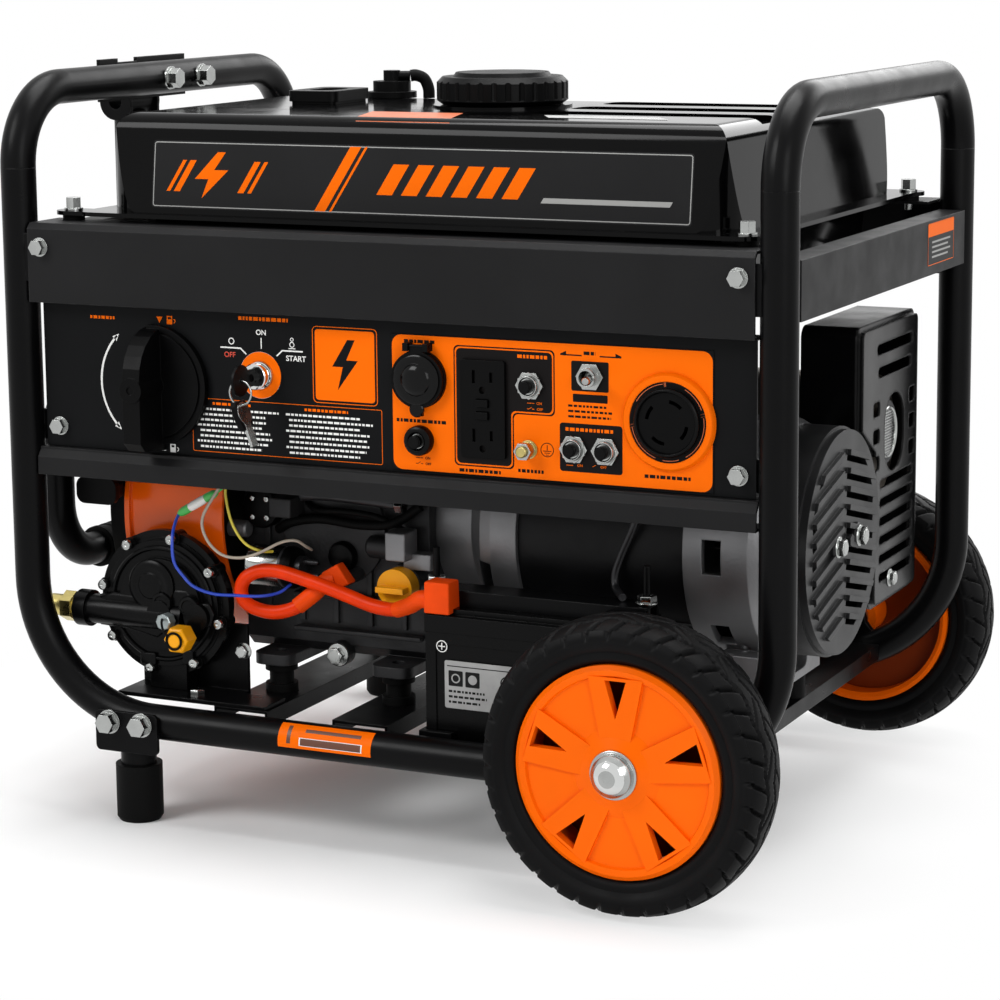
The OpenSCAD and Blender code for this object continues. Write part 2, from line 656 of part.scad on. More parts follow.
// puts a thing that points along +Z onto the panel's face, pointing to the front
module on_panel(at, out = 0) {
    translate([at[0], -panel_y - out, panel_z + at[1]]) facing_front() children();
}
module panel_bore(at, r) { on_panel(at, -10) cylinder(h = 20, r = r); }
module control_panel() {
    color("#17181a") placed() difference() {
        union() {
            span([-panel_l / 2, -panel_y, panel_z], [panel_l / 2, -panel_y + sheet_t, panel_z + panel_h]);
            span([-panel_l / 2, -panel_y, panel_z], [panel_l / 2, -panel_y + 15, panel_z + sheet_t]);
            span([-panel_l / 2, -panel_y, panel_z + panel_h - sheet_t],
                [panel_l / 2, -panel_y + 15, panel_z + panel_h]);
            span([9, -panel_y - plate_t, panel_z + 2], [244.5, -panel_y, panel_z + 96]);
        }
        panel_bore(knob_at, spindle_r + run_gap);
        panel_bore(ignition_at, barrel_r + 1.5 + touch);
        panel_bore(dc_at, dc_r - 4 + touch);
        for (at = [dc_breaker_at, ac_breaker_at, main_left_at, main_right_at, toggle_at])
            panel_bore(at, bush_r + touch);
        panel_bore(ground_at, 3 + touch);
        panel_bore(twist_at, twist_r + touch);
        on_panel(gfci_at, -10) translate([0, 0, 0]) linear_extrude(height = 20)
            square([gfci_l - 3 + 2 * touch, gfci_h - 3 + 2 * touch], center = true);
    }
}
blade_w = 14;
blade_out = 34;
module fuel_selector_knob() {
    z0 = 0.8;
    up = knob_r - 2;
    down = knob_r + 4;
    color("#141414") placed() on_panel(knob_at, touch) {
        difference() {
            linear_extrude(height = 5) intersection() {
                circle(r = knob_r);
                translate([-4, -knob_r]) square([knob_r + 5, 2 * knob_r]);
            }
            translate([0, 0, 3.5]) linear_extrude(height = 3) difference() {
                circle(r = knob_r - 4);
                circle(r = knob_r - 5.5);
            }
        }
        rotate([90, 0, 90]) translate([0, 0, -blade_w / 2]) linear_extrude(height = blade_w) union() {
            intersection() {
                translate([0, 0]) scale(1) polygon(concat([[-down, 0], [-down + 3, blade_out - 6]],
                    [[-down + 9, blade_out], [6, blade_out]],
                    [for (a = [75 : -15 : 0]) [6 + (up - 6) * cos(a), blade_out * sin(a)]]));
                translate([-down, 0]) square([up + down, blade_out]);
            }
        }
        difference() {
            translate([0, 0, 5]) cylinder(h = blade_out - 4, r = 9);
            translate([0, 0, blade_out - 3]) cylinder(h = 10, r = 3);
        }
        translate([0, 0, -sheet_t - touch - 12]) cylinder(h = sheet_t + touch + 13, r = spindle_r);
        translate([0, 0, -sheet_t - 2 * touch - 3]) cylinder(h = 3, r = spindle_r + 4);
    }
}
key_r = 3;
key_seat = 12;
module ignition_switch() {
    color("#3a3a3c") placed() on_panel(ignition_at) difference() {
        union() {
            cylinder(h = 2, r = barrel_r + 8);
            translate([0, 0, 2]) cylinder(h = 9, r = barrel_r);
            translate([0, 0, -28]) cylinder(h = 28, r = barrel_r + 1.5);
        }
        translate([0, 0, 11 - key_seat]) cylinder(h = key_seat + 1, r = key_r + run_gap);
    }
}
bow_r = 11;
bow_out = 30;
bow_t = 2;
ring_r = 8.5;
wire_r = 0.8;
module ignition_key() {
    color("#151515") placed() on_panel(ignition_at) {
        translate([0, 0, 11 - key_seat + touch]) cylinder(h = key_seat + 5, r = key_r);
        difference() {
            union() {
                rotate([0, 90, 0]) translate([-bow_out, 0, -bow_t / 2]) cylinder(h = bow_t, r = bow_r);
                translate([-bow_t / 2, -6, 11 + touch]) cube([bow_t, 12, bow_out - 16]);
            }
            rotate([0, 90, 0]) translate([-bow_out, 0, -3]) cylinder(h = 6, r = wire_r + 0.95);
        }
    }
}
module key_ring() {
    color("silver") placed() on_panel(ignition_at, bow_out) translate([0, -ring_r, 0]) {
        rotate_extrude() translate([ring_r, 0]) circle(r = wire_r);
        translate([0, -ring_r, 0]) rotate([0, 90, 20]) translate([0, 0, -1]) difference() {
            union() {
                translate([0, -6, 0]) cylinder(h = 2, r = 8);
                translate([-4, -30, 0]) cube([8, 20, 2]);
            }
            translate([0, 0.2, -1]) cylinder(h = 4, r = 0.6);
        }
    }
}
hinge_up = dc_r + 3;
module dc_socket() {
    color("#141414") placed() on_panel(dc_at, plate_t) {
        difference() {
            union() {
                cylinder(h = 3, r = dc_r);
                translate([0, 0, -25]) cylinder(h = 25, r = dc_r - 4);
                for (s = [-1, 1]) translate([s * 7.5 - 2, hinge_up - 3.5, 0]) cube([4, 5.5, 8]);
            }
            translate([0, 0, -20]) cylinder(h = 30, r = dc_r - 9);
            rotate([0, 90, 0]) translate([-5.5, hinge_up, -20]) cylinder(h = 40, r = 1.2 + run_gap);
        }
    }
}
module dc_socket_cover() {
    color("#1c1c1c") placed() on_panel(dc_at, plate_t + 3 + touch) {
        cylinder(h = 3, r = dc_r - 0.5);
        translate([-4, -dc_r - 5, 0]) cube([8, 8, 2.5]);
        translate([-5, dc_r - 4, 0]) cube([10, hinge_up - dc_r + 4, 3]);
        rotate([0, 90, 0]) translate([-2.5 + touch, hinge_up, -9]) cylinder(h = 18, r = 1.2);
    }
}
slot_w = 2.2;
pad_l = 9;
pad_h = 5;
module gfci_outlet() {
    color("#1b1b1b") placed() on_panel(gfci_at, plate_t) difference() {
        union() {
            linear_extrude(height = 3) rounded(gfci_l, gfci_h, 2);
            translate([0, 0, -30]) linear_extrude(height = 30) square([gfci_l - 3, gfci_h - 3], center = true);
        }
        for (s = [-1, 1]) translate([0, s * 20, -12]) linear_extrude(height = 20) {
            translate([-6.5, 2]) square([slot_w, 9], center = true);
            translate([6.5, 2]) square([slot_w, 7], center = true);
            translate([0, -7]) circle(r = 2.5);
        }
        for (s = [-1, 1]) translate([0, s * 4.2, 0]) linear_extrude(height = 5)
            square([pad_l + 2 * touch, pad_h + 2 * touch], center = true);
    }
}
module gfci_pad(s) {
    placed() on_panel(gfci_at, plate_t) translate([0, s * 4.2, 2]) linear_extrude(height = 3)
        square([pad_l, pad_h], center = true);
}
module gfci_test_button() { color("#202020") gfci_pad(1); }
module gfci_reset_button() { color("#b03020") gfci_pad(-1); }

// hexagon bushes of the breakers, the toggle's bush and the ground terminal
bush_out = 6;
module breaker_bush(at) {
    on_panel(at) difference() {
        union() {
            translate([0, 0, plate_t]) hex(17.5, 3);
            cylinder(h = bush_out, r = bush_r);
            translate([0, 0, -22]) cylinder(h = 22, r = bush_r);
        }
        translate([0, 0, -12]) cylinder(h = 30, r = breaker_r + run_gap);
    }
}
toggle_bore = 5;
module panel_fittings() {
    color("#8a8a8a") placed() {
        for (at = [dc_breaker_at, ac_breaker_at, main_left_at, main_right_at]) breaker_bush(at);
        on_panel(toggle_at) difference() {
            union() {
                cylinder(h = 10, r = toggle_bore + 1.5);
                translate([0, 0, plate_t]) hex(17, 3);
                translate([0, 0, -20]) cylinder(h = 20, r = bush_r);
            }
            translate([0, 0, -8]) cylinder(h = 30, r = toggle_bore);
        }
        on_panel(ground_at) {
            translate([0, 0, plate_t]) hex(10, 3);
            translate([0, 0, -12]) cylinder(h = 26, r = 3);
            translate([0, 0, 7]) hex(11, 5);
        }
    }
}
module breaker_button(at) {
    placed() on_panel(at) {
        translate([0, 0, -7]) cylinder(h = bush_out + 12, r = breaker_r);
        translate([0, 0, bush_out + 4.2]) cylinder(h = 1.6, r = breaker_r - 0.8);
    }
}
module breaker_dc() { color("white") breaker_button(dc_breaker_at); }
module breaker_ac() { color("white") breaker_button(ac_breaker_at); }
module breaker_main_left() { color("white") breaker_button(main_left_at); }
module breaker_main_right() { color("white") breaker_button(main_right_at); }
toggle_tilt = 14;
toggle_ball = 4.7;
module voltage_toggle() {
    color("silver") placed() on_panel(toggle_at) rotate([0, toggle_tilt, 0]) {
        sphere(r = toggle_ball);
        rotate_extrude() polygon([[0, 0], [1.8, 4], [2.8, 22], [2.2, 24], [0, 24.6]]);
    }
}
module twist_lock_outlet() {
    color("#151515") placed() on_panel(twist_at, plate_t) difference() {
        union() {
            cylinder(h = 3, r = twist_r + 8);
            cylinder(h = 5, r = twist_r);
            translate([0, 0, -34]) cylinder(h = 34, r = twist_r);
        }
        translate([0, 0, 3]) rotate_extrude() translate([twist_r - 2, 0]) square([1.2, 5]);
        for (a = [45, 135, 225, 315]) rotate([0, 0, a]) translate([0, 0, -14])
            rotate_extrude(angle = 38) translate([13, 0]) square([2.4, 30]);
    }
}

// ---- engine ----
case_y0 = crank_y - 70;
case_y1 = crank_y + 82;
case_top = crank_z + 70;
case_mid = (case_x0 + case_x1) / 2;
mount_ys = [crank_y - 81, crank_y + 81];
alt_mount_x = axle_x + 20.5;
mount_r = 12;
axle_mount_r = 9.5;
dip_x = case_x1 - 15.5;
module crankcase() {
    color("#9a9c9e") placed() difference() {
        union() {
            x_profile(case_x0, case_x1) polygon([[case_y0, foot_z + 14], [case_y0 + 8, foot_z + 6],
                [case_y1 - 12, foot_z + 6], [case_y1, foot_z + 18], [case_y1, crank_z + 10],
                [case_y1 - 20, case_top - 8], [case_y0 + 40, case_top], [case_y0 + 14, case_top - 14],
                [case_y0, crank_z + 25]]);
            for (x = [member_xs[0], member_xs[1]]) translate([x, crank_y, foot_z])
                linear_extrude(height = 8) rounded(32, 2 * 81 + 34, 10);
            for (i = [0 : 4]) translate([case_x0 + 18 + i * 28, case_y0 - 3, foot_z + 30])
                cube([4, 6, 70]);
            y_rod(case_y0 - 4, case_y0 + 2, case_mid, crank_z - 5, 42);
            y_rod(case_y0 - 14, case_y0 + 2, dip_x, foot_z + 66, 15);
            y_rod(case_y0 - 8, case_y0 + 2, -78, foot_z + 8, 9);
            span([-140, case_y0 - 4.5, foot_z + 62], [-106, case_y0 + 4, foot_z + 84]);
            span([-140, starter_y - 20, case_top - 16], [-44, starter_y + 20, starter_z - starter_r - touch]);
        }
        x_rod(case_x0 - 1, case_x1 + 1, crank_y, crank_z, shaft_r + run_gap);
        for (x = [member_xs[0], member_xs[1]], y = mount_ys) translate([x, y, foot_z - 1])
            cylinder(h = 12, r = 4.5);
        y_rod(case_y0 - 20, case_y0 - 4, dip_x, foot_z + 66, 9 + run_gap);
    }
}
cyl_tilt = 25;
cyl_x = case_mid;
fin_l = 112;
head_l = 90;
head_t = 22;
fin_pitch = 10;
cyl_start = 88;
module cylinder_axis(d = 0) {
    translate([cyl_x, crank_y, crank_z]) rotate([cyl_tilt - 90, 0, 0]) translate([0, 0, d]) children();
}
module fin_plate(l, w, h) { linear_extrude(height = h) rounded(l, w, 8); }
module cylinder_body() {
    cylinder_axis(cyl_start) {
        linear_extrude(height = fin_count * fin_pitch) rounded(78, 78, 20);
        for (i = [0 : fin_count - 1]) translate([0, 0, i * fin_pitch + 4]) fin_plate(fin_l, 100, 3);
        translate([0, 0, fin_count * fin_pitch]) fin_plate(head_l, 84, head_t);
        translate([0, 0, fin_count * fin_pitch + head_t]) fin_plate(76, 70, 6);
    }
}
module cylinder_block() {
    color("#a8aaac") placed() difference() {
        cylinder_body();
        x_profile(case_x0 - 50, case_x1 + 50) polygon([[case_y1 + touch - 200, crank_z - 150],
            [case_y1 + touch, crank_z - 150], [case_y1 + touch, crank_z + 10],
            [case_y1 - 20 + touch, case_top - 7.8], [case_y1 - 200, case_top + 10]]);
    }
}
shroud_wall = 3;
fly_r = shroud_r - 12;
duct_w = 88;
module fan_shroud() {
    color("#f2740c") placed() difference() {
        union() {
            x_rod(shroud_x, case_x0 - touch, crank_y, crank_z, shroud_r);
            x_rod(shroud_x, shroud_x + 4, crank_y, crank_z, shroud_r + 3);
            x_profile(shroud_x + 20, case_x0 - touch) polygon([[crank_y, crank_z + 44],
                [crank_y + 60, crank_z + 100], [crank_y + 112, crank_z + 100], [crank_y + 142, crank_z + 72],
                [crank_y + 132, crank_z + 8], [crank_y + 60, crank_z - 40]]);
        }
        x_rod(shroud_x - 1, case_x0 + 1, crank_y, crank_z, shroud_r - shroud_wall);
        x_profile(shroud_x + 20 + shroud_wall, case_x0 + 1) polygon([[crank_y, crank_z + 44],
            [crank_y + 62, crank_z + 96], [crank_y + 110, crank_z + 96], [crank_y + 138, crank_z + 70],
            [crank_y + 128, crank_z + 10], [crank_y + 60, crank_z - 35]]);
    }
}
grille_n = 24;
rope_y = -104;
rope_z = 20;                            // rope's height above the crankshaft
rope_x = recoil_x + 11;
rope_r = 2.5;
module recoil_cover() {
    color("#1a1a1a") placed() difference() {
        union() {
            x_rod(recoil_x + 6, shroud_x, crank_y, crank_z, shroud_r - 3);
            x_rod(recoil_x, recoil_x + 6.1, crank_y, crank_z, shroud_r - 14);
            y_rod(crank_y + rope_y - 8, crank_y + rope_y + 12, rope_x, crank_z + rope_z, 8);
        }
        x_rod(recoil_x + 8, shroud_x + 1, crank_y, crank_z, shroud_r - 6);
        x_rod(recoil_x + 3, recoil_x + 9, crank_y, crank_z, shroud_r - 17);
        y_rod(crank_y + rope_y - 20, crank_y + rope_y + 30, rope_x, crank_z + rope_z, rope_r + 0.8);
        for (a = [0 : grille_n - 1]) translate([recoil_x - 1, crank_y, crank_z]) rotate([a * 360 / grille_n, 0, 0])
            translate([0, 38, -3]) cube([5, shroud_r - 14 - 50, 6]);
    }
}
pull_h = 20;
module recoil_handle() {
    y0 = crank_y + rope_y - 8 - touch;
    color("#161616") placed() translate([rope_x, 0, crank_z + rope_z]) {
        y_rod(y0 - 1, y0 + 86, 0, 0, rope_r);
        difference() {
            y_profile(y0 - 15, y0) rounded(34, pull_h, 7);
            y_profile(y0 - 10, y0 + 1) difference() {
                square([60, 40], center = true);
                rounded(28, pull_h - 5, 5);
            }
        }
        y_rod(y0 - 12, y0, 0, 0, 6);
    }
}
rotor_r = 50;
air_gap = 1;
module crankshaft() {
    color("#6e7073") placed() {
        x_rod(shroud_x + 2, cover_x0 - 3, crank_y, crank_z, shaft_r);
        difference() {
            x_rod(shroud_x + 12, shroud_x + 56, crank_y, crank_z, fly_r);
            x_rod(shroud_x + 11, shroud_x + 34, crank_y, crank_z, fly_r - 12);
        }
        for (a = [0 : 30 : 330]) translate([shroud_x + 14, crank_y, crank_z]) rotate([a, 0, 0])
            translate([0, 46, -2]) cube([22, fly_r - 52, 4]);
        x_rod(shroud_x + 5, shroud_x + 35, crank_y, crank_z, 34);
        x_rod(stator_x0 + 6, stator_x1 - 6, crank_y, crank_z, rotor_r);
    }
}
starter_y = crank_y - 58;
starter_r = 27;
starter_z = case_top + starter_r + 1;
solenoid_r = 15;
solenoid_y = case_y0 - 4.5 - solenoid_r - touch;
solenoid_z = foot_z + 73;
module starter_motor() {
    color("#3a3c3e") placed() {
        x_rod(-150, -45, starter_y, starter_z, starter_r);
        x_rod(-45, -34, starter_y, starter_z, starter_r - 4);
        x_rod(case_x0 + 1, -150, starter_y, starter_z, starter_r - 8);
        // solenoid ahead of the crankcase with its two studs
        x_rod(-140, -106, solenoid_y, solenoid_z, solenoid_r);
        x_rod(-106, -98, solenoid_y, solenoid_z, 9);
        for (s = [-1, 1]) x_rod(-98, -86.3, solenoid_y, solenoid_z + s * 5, 2);
        y_rod(case_y0 - 31, case_y0 - 4 - touch, -62, foot_z + 69, 5);
    }
}
module air_cleaner() {
    color("#1b1b1b") placed() {
        difference() {
            x_profile(cleaner_x0, cleaner_x1) translate([cleaner_y, cleaner_z]) rounded(cleaner_w, cleaner_h, 14);
            x_profile(cleaner_x0 - 1, cleaner_x0 + 2) translate([cleaner_y, cleaner_z]) difference() {
                rounded(cleaner_w - 16, cleaner_h - 16, 8);
                rounded(cleaner_w - 20, cleaner_h - 20, 7);
            }
        }
        // carburettor body beside the cylinder head, with the choke shaft's bore
        difference() {
            union() {
                x_rod(cleaner_x1, cyl_x - head_l / 2 - touch, cleaner_y, cleaner_z - 8, 16);
                span([cleaner_x1 + 6, cleaner_y - 20, cleaner_z - 28], [cyl_x - 50, cleaner_y + 20, cleaner_z + 8]);
            }
            translate([choke_x, cleaner_y, cleaner_z]) cylinder(h = 40, r = 3 + run_gap);
        }
    }
}
cleaner_x0 = -235;
cleaner_x1 = -155;
cleaner_y = 118;
cleaner_z = 350;
cleaner_w = 84;
cleaner_h = 52;
choke_x = -140;
module choke_lever() {
    color("#b8b8b8") placed() translate([choke_x, cleaner_y, cleaner_z + 8]) {
        translate([0, 0, -6]) cylinder(h = 8 + touch, r = 3);
        translate([0, 0, touch]) linear_extrude(height = 3) union() {
            circle(r = 7);
            translate([-4, 0]) square([8, 36]);
            translate([0, 38]) circle(r = 7);
        }
    }
}
guard_x0 = 229;
guard_x1 = 275;
guard_y0 = crank_y + 58;
guard_y1 = crank_y + 193;
guard_z0 = crank_z - 70;
guard_z1 = crank_z + 142;
guard_r = 9;
guard_step = 31;                        // how far the lower part is set back to clear the alternator
muff_y = (guard_y0 + guard_step + guard_y1) / 2;
muff_z = crank_z + 50;
arrestor_z = crank_z + 57;
muff_r = 47;
module guard_outline(in = 0) {
    g = guard_r - in;
    w = guard_y1 - guard_y0;
    h = guard_z1 - guard_z0;
    union() {
        translate([(guard_y0 + guard_y1) / 2, guard_z1 - 32]) rounded(w - 2 * in, 64 - 2 * in, g);
        translate([(guard_y0 + guard_step + guard_y1) / 2, (guard_z0 + guard_z1) / 2])
            rounded(w - guard_step - 2 * in, h - 2 * in, g);
        polygon([[guard_y0 + in, guard_z1 - 40], [guard_y0 + in, guard_z1 - 74],
            [guard_y0 + guard_step + in, guard_z1 - 94], [guard_y0 + guard_step + 20, guard_z1 - 94],
            [guard_y0 + guard_step + 20, guard_z1 - 40]]);
    }
}
port_d = cyl_start + fin_count * fin_pitch + head_t / 2;
port_y = crank_y + port_d * cos(cyl_tilt);
port_z = crank_z + port_d * sin(cyl_tilt);
pipe_r = 10;
module muffler() {
    ring_r = (guard_y1 - guard_y0 - guard_step) / 2 - sheet_t - touch;
    color("#5c5a57") placed() {
        x_rod(60, guard_x1 - 17, muff_y, muff_z, muff_r);
        for (x = [66, guard_x0 + 10]) x_rod(x, x + 3, muff_y, muff_z, ring_r);
        x_rod(guard_x1 - 18, guard_x1 - 4, muff_y - 11, arrestor_z, 17);
        // exhaust pipe from the head's port
        x_rod(cyl_x + head_l / 2 + touch + 2, 64, port_y, port_z, pipe_r);
        cylinder_axis(port_d - head_t / 2 + 1) translate([head_l / 2 + touch, -26, 0]) cube([5, 52, head_t - 2]);
    }
}
module muffler_shield() {
    module cut() { x_profile(guard_x1 - 12, guard_x1 + 1) children(); }
    color("#141414") placed() difference() {
        union() {
            x_profile(guard_x0, guard_x1 - 4) guard_outline();
            x_profile(guard_x1 - 5, guard_x1) guard_outline(3.5);
        }
        x_profile(guard_x0 - 1, guard_x1 - 4 - sheet_t) guard_outline(sheet_t);
        x_profile(guard_x1 - 7, guard_x1 - sheet_t) guard_outline(3.5 + sheet_t);
        for (i = [0, 1]) cut() translate([muff_y - 6, guard_z1 - 20 - i * 17]) rounded(84 - i * 6, 8, 3.9);
        for (i = [0 : 2], s = [-1, 1]) cut()
            translate([muff_y - 6 + s * 42, arrestor_z + 22 - i * 20]) rounded(15, 11, 3);
        cut() translate([muff_y - 6, arrestor_z]) rounded(46, 58, 22);
        for (i = [0 : 5]) cut() translate([muff_y, guard_z0 + 22 + i * 14]) rounded(78, 6.5, 3.1);
    }
}
module dipstick() {
    color("#e0a020") placed() {
        y_rod(case_y0 - 14 - touch - 12, case_y0 - 14 - touch, dip_x, foot_z + 66, 14);
        y_rod(case_y0 - 15, case_y0 - 4.5, dip_x, foot_z + 66, 9);
        translate([dip_x, case_y0 - 14 - touch - 16, foot_z + 66]) cube([22, 9, 4], center = true);
    }
}

// ---- alternator ----
bell_wall = 6;
module along_x(x) { translate([x, crank_y, crank_z]) rotate([0, 90, 0]) children(); }
module alternator_bells() {
    color("#b4b6b8") placed() {
        difference() {
            along_x(0) rotate_extrude() polygon([[shaft_r + run_gap, case_x1], [bell_r - 25, case_x1],
                [bell_r - 22, case_x1 + 30], [bell_r - 4, case_x1 + 45], [bell_r, case_x1 + 55], [bell_r, stator_x0],
                [bell_r - bell_wall, stator_x0], [bell_r - bell_wall, case_x1 + 56], [bell_r - 30, case_x1 + 36],
                [bell_r - 34, case_x1 + 14], [shaft_r + run_gap, case_x1 + 14]]);
            for (a = [0 : 45 : 315]) along_x(case_x1 + 48) rotate([0, 0, a + 22])
                translate([bell_r - 25, 0, 0]) cube([60, 26, 12], center = true);
        }
        difference() {
            union() {
                along_x(0) rotate_extrude() polygon([[bell_r, stator_x1], [bell_r, cover_x0 - 8],
                    [bell_r - 4, cover_x0], [shaft_r + run_gap, cover_x0], [shaft_r + run_gap, cover_x0 - 10],
                    [bell_r - bell_wall, cover_x0 - 14], [bell_r - bell_wall, stator_x1]]);
                difference() {
                    span([alt_mount_x - 16, crank_y - 62, foot_z], [alt_mount_x + 16, crank_y + 62, crank_z - bell_r + 12]);
                    along_x(stator_x1) cylinder(h = far, r = bell_r - 2);
                    along_x(0) cylinder(h = stator_x1 + touch, r = bell_r + 1);
                    x_profile(0, far) translate([crank_y, foot_z + 20]) rounded(70, 28, 8);
                }
            }
            for (s = [-1, 1]) translate([alt_mount_x, crank_y + s * 48, foot_z - 1]) cylinder(h = 40, r = 3.5);
            for (a = [0 : 45 : 315]) along_x(cover_x0 - 34) rotate([0, 0, a])
                translate([bell_r, 0, 0]) cube([30, 24, 14], center = true);
        }
    }
}
module stator() {
    color("#202022") placed() difference() {
        union() {
            along_x(stator_x0) cylinder(h = stator_x1 - stator_x0, r = bell_r - 4);
            for (a = [45 : 90 : 315]) along_x(stator_x0 + 1) rotate([0, 0, a]) translate([bell_r - 5, 0, 0])
                cylinder(h = stator_x1 - stator_x0 - 2, r = 5);
        }
        along_x(stator_x0 - 1) cylinder(h = stator_x1 - stator_x0 + 2, r = rotor_r + air_gap);
    }
}
louvre_n = 10;
// two columns of slanted bars from x0 past the cover's face
module louvres(x0, depth, high) {
    for (i = [0 : louvre_n - 1], s = [-1, 1])
        translate([cover_x1 + x0, crank_y, crank_z + (i - (louvre_n - 1) / 2) * 13])
            rotate([-s * 14, 0, 0]) translate([0, s > 0 ? 6 : -66, 0]) cube([depth, 60, high]);
}
module alternator_cover() {
    color("#141414") placed() difference() {
        union() {
            along_x(cover_x0) cylinder(h = cover_x1 - cover_x0 - 6, r = bell_r - 4);
            along_x(cover_x1 - 6) cylinder(h = 6, r = bell_r - 6);
            intersection() {
                along_x(cover_x1 - 3) cylinder(h = 6, r = bell_r - 13);
                translate([0, 0, 4]) louvres(-3, 6, 4);
            }
            for (s = [-1, 1]) along_x(cover_x1 - 1) translate([0, s * 8, 0]) hex(8, 5);
        }
        along_x(cover_x0 - 1) cylinder(h = cover_x1 - cover_x0 - 3, r = bell_r - 8);
        intersection() {
            along_x(cover_x1 - 8) cylinder(h = 20, r = bell_r - 16);
            louvres(-8, 12, 4);
        }
    }
}
module rubber_mounts() {
    color("#111111") placed() {
        for (x = [member_xs[0], member_xs[1]], y = mount_ys) translate([x, y, member_top_z]) difference() {
            union() {
                cylinder(h = mount_h, r = mount_r - 3);
                cylinder(h = 6, r = mount_r);
                translate([0, 0, mount_h - 6]) cylinder(h = 6, r = mount_r);
            }
            translate([0, 0, -1]) cylinder(h = mount_h + 2, r = 4);
        }
        for (s = [-1, 1]) translate([alt_mount_x, crank_y + s * 48, member_top_z]) difference() {
            cylinder(h = mount_h, r = axle_mount_r);
            translate([0, 0, -1]) cylinder(h = mount_h + 2, r = 3);
        }
        for (i = [-1, 1], j = [-1, 1]) translate([i * bolt_x, j * bolt_y, beam_top_z]) difference() {
            cylinder(h = flange_z - beam_top_z, r = 8);
            translate([0, 0, -1]) cylinder(h = 8, r = tank_bolt_r + touch);
        }
    }
}

// ---- battery, gas regulator and wiring ----
tray_t = 3;
tray_z = battery_z - tray_t;
lip_h = 20;
lip_gap = 1;
strap_z = battery_top_z;
strap_h = 11;
strap_y = battery_y + 28;
module battery() {
    x1 = battery_x + battery_l;
    color("#191919") placed() {
        difference() {
            span([battery_x, battery_y, battery_z], [x1, battery_y + battery_w, battery_top_z - 12]);
            span([battery_x + 8, battery_y - 1, battery_z + 12], [x1 - 8, battery_y + 1, battery_top_z - 24]);
        }
        span([battery_x - 0.5, battery_y - 0.5, battery_top_z - 16],
            [x1 + 0.5, battery_y + battery_w + 0.5, battery_top_z - 4]);
        span([battery_x + 14, battery_y + 6, battery_top_z - 12], [x1 - 14, battery_y + battery_w - 3, battery_top_z]);
        // terminal blocks, the positive one with its boot
        span([battery_x + 1.5, battery_y + 2, battery_top_z - 12], [battery_x + 18, battery_y + 15, battery_top_z + 13]);
        span([x1 - 18, battery_y + 2, battery_top_z - 12], [x1 - 3, battery_y + 15, battery_top_z + 8]);
    }
}
module equipment_brackets() {
    x1 = battery_x + battery_l;
    sy = strap_y;
    color("#1c1c1e") placed() {
        // battery tray seated against the front rail
        difference() {
            span([battery_x - 3, battery_y - 6, tray_z], [x1 + 3, battery_y + battery_w + 3, battery_z + lip_h]);
            span([battery_x - lip_gap, battery_y - lip_gap, battery_z],
                [x1 + lip_gap, battery_y + battery_w + lip_gap, battery_z + lip_h + 1]);
            span([battery_x + 22, battery_y - 10, battery_z + 8], [x1 - 22, battery_y + far, battery_z + lip_h + 1]);
            for (i = [0 : 2]) translate([battery_x + 32 + i * 43, battery_y + battery_w / 2, tray_z - 1])
                cylinder(h = 8, r = 11);
        }
        // hold-down: inverted channel with two long studs
        difference() {
            span([battery_x - 8, sy - 12, strap_z], [x1 + 8, sy + 12, strap_z + strap_h]);
            span([battery_x - 9, sy - 10, strap_z - 1], [x1 + 9, sy + 10, strap_z + strap_h - sheet_t]);
        }
        for (x = [battery_x - 4.5, x1 + 4.5]) translate([x, sy, tray_z + 2]) {
            cylinder(h = strap_z + 36 - tray_z, r = 2.5);
            translate([0, 0, strap_z + strap_h - tray_z - 2]) hex(10, 6);
        }
        for (x = [battery_x - 9, x1 + 1.5]) span([x, sy - 6, tray_z], [x + 7.5, sy + 6, tray_z + 5]);
        // regulator bracket on the left cross member
        difference() {
            span([reg_x - 30, -inner_y, member_top_z], [member_xs[0] + 20, reg_y1 + 3, member_top_z + 3]);
            span([member_xs[0] - 14, reg_y1 - 6, member_top_z - 1], [member_xs[0] + 30, reg_y1 + 4, member_top_z + 4]);
        }
        difference() {
            x_profile(reg_x - 30, member_xs[0] - 14) polygon([[reg_y1, member_top_z], [reg_y1 + 3, member_top_z],
                [reg_y1 + 3, reg_z - 15], [reg_y1, reg_z - 15]]);
        }
    }
}
reg_x = -197.5;
reg_z = crank_z - 60.3;
reg_r = 55;
reg_y0 = -(inner_y - 4);
reg_y1 = reg_y0 + 32;
reg_inlet_y = reg_y0 + 13;
reg_inlet_z = reg_z - 9;
module reg_nozzle() { translate([reg_x + 28, reg_y0 + 12, reg_z - 19]) children(); }
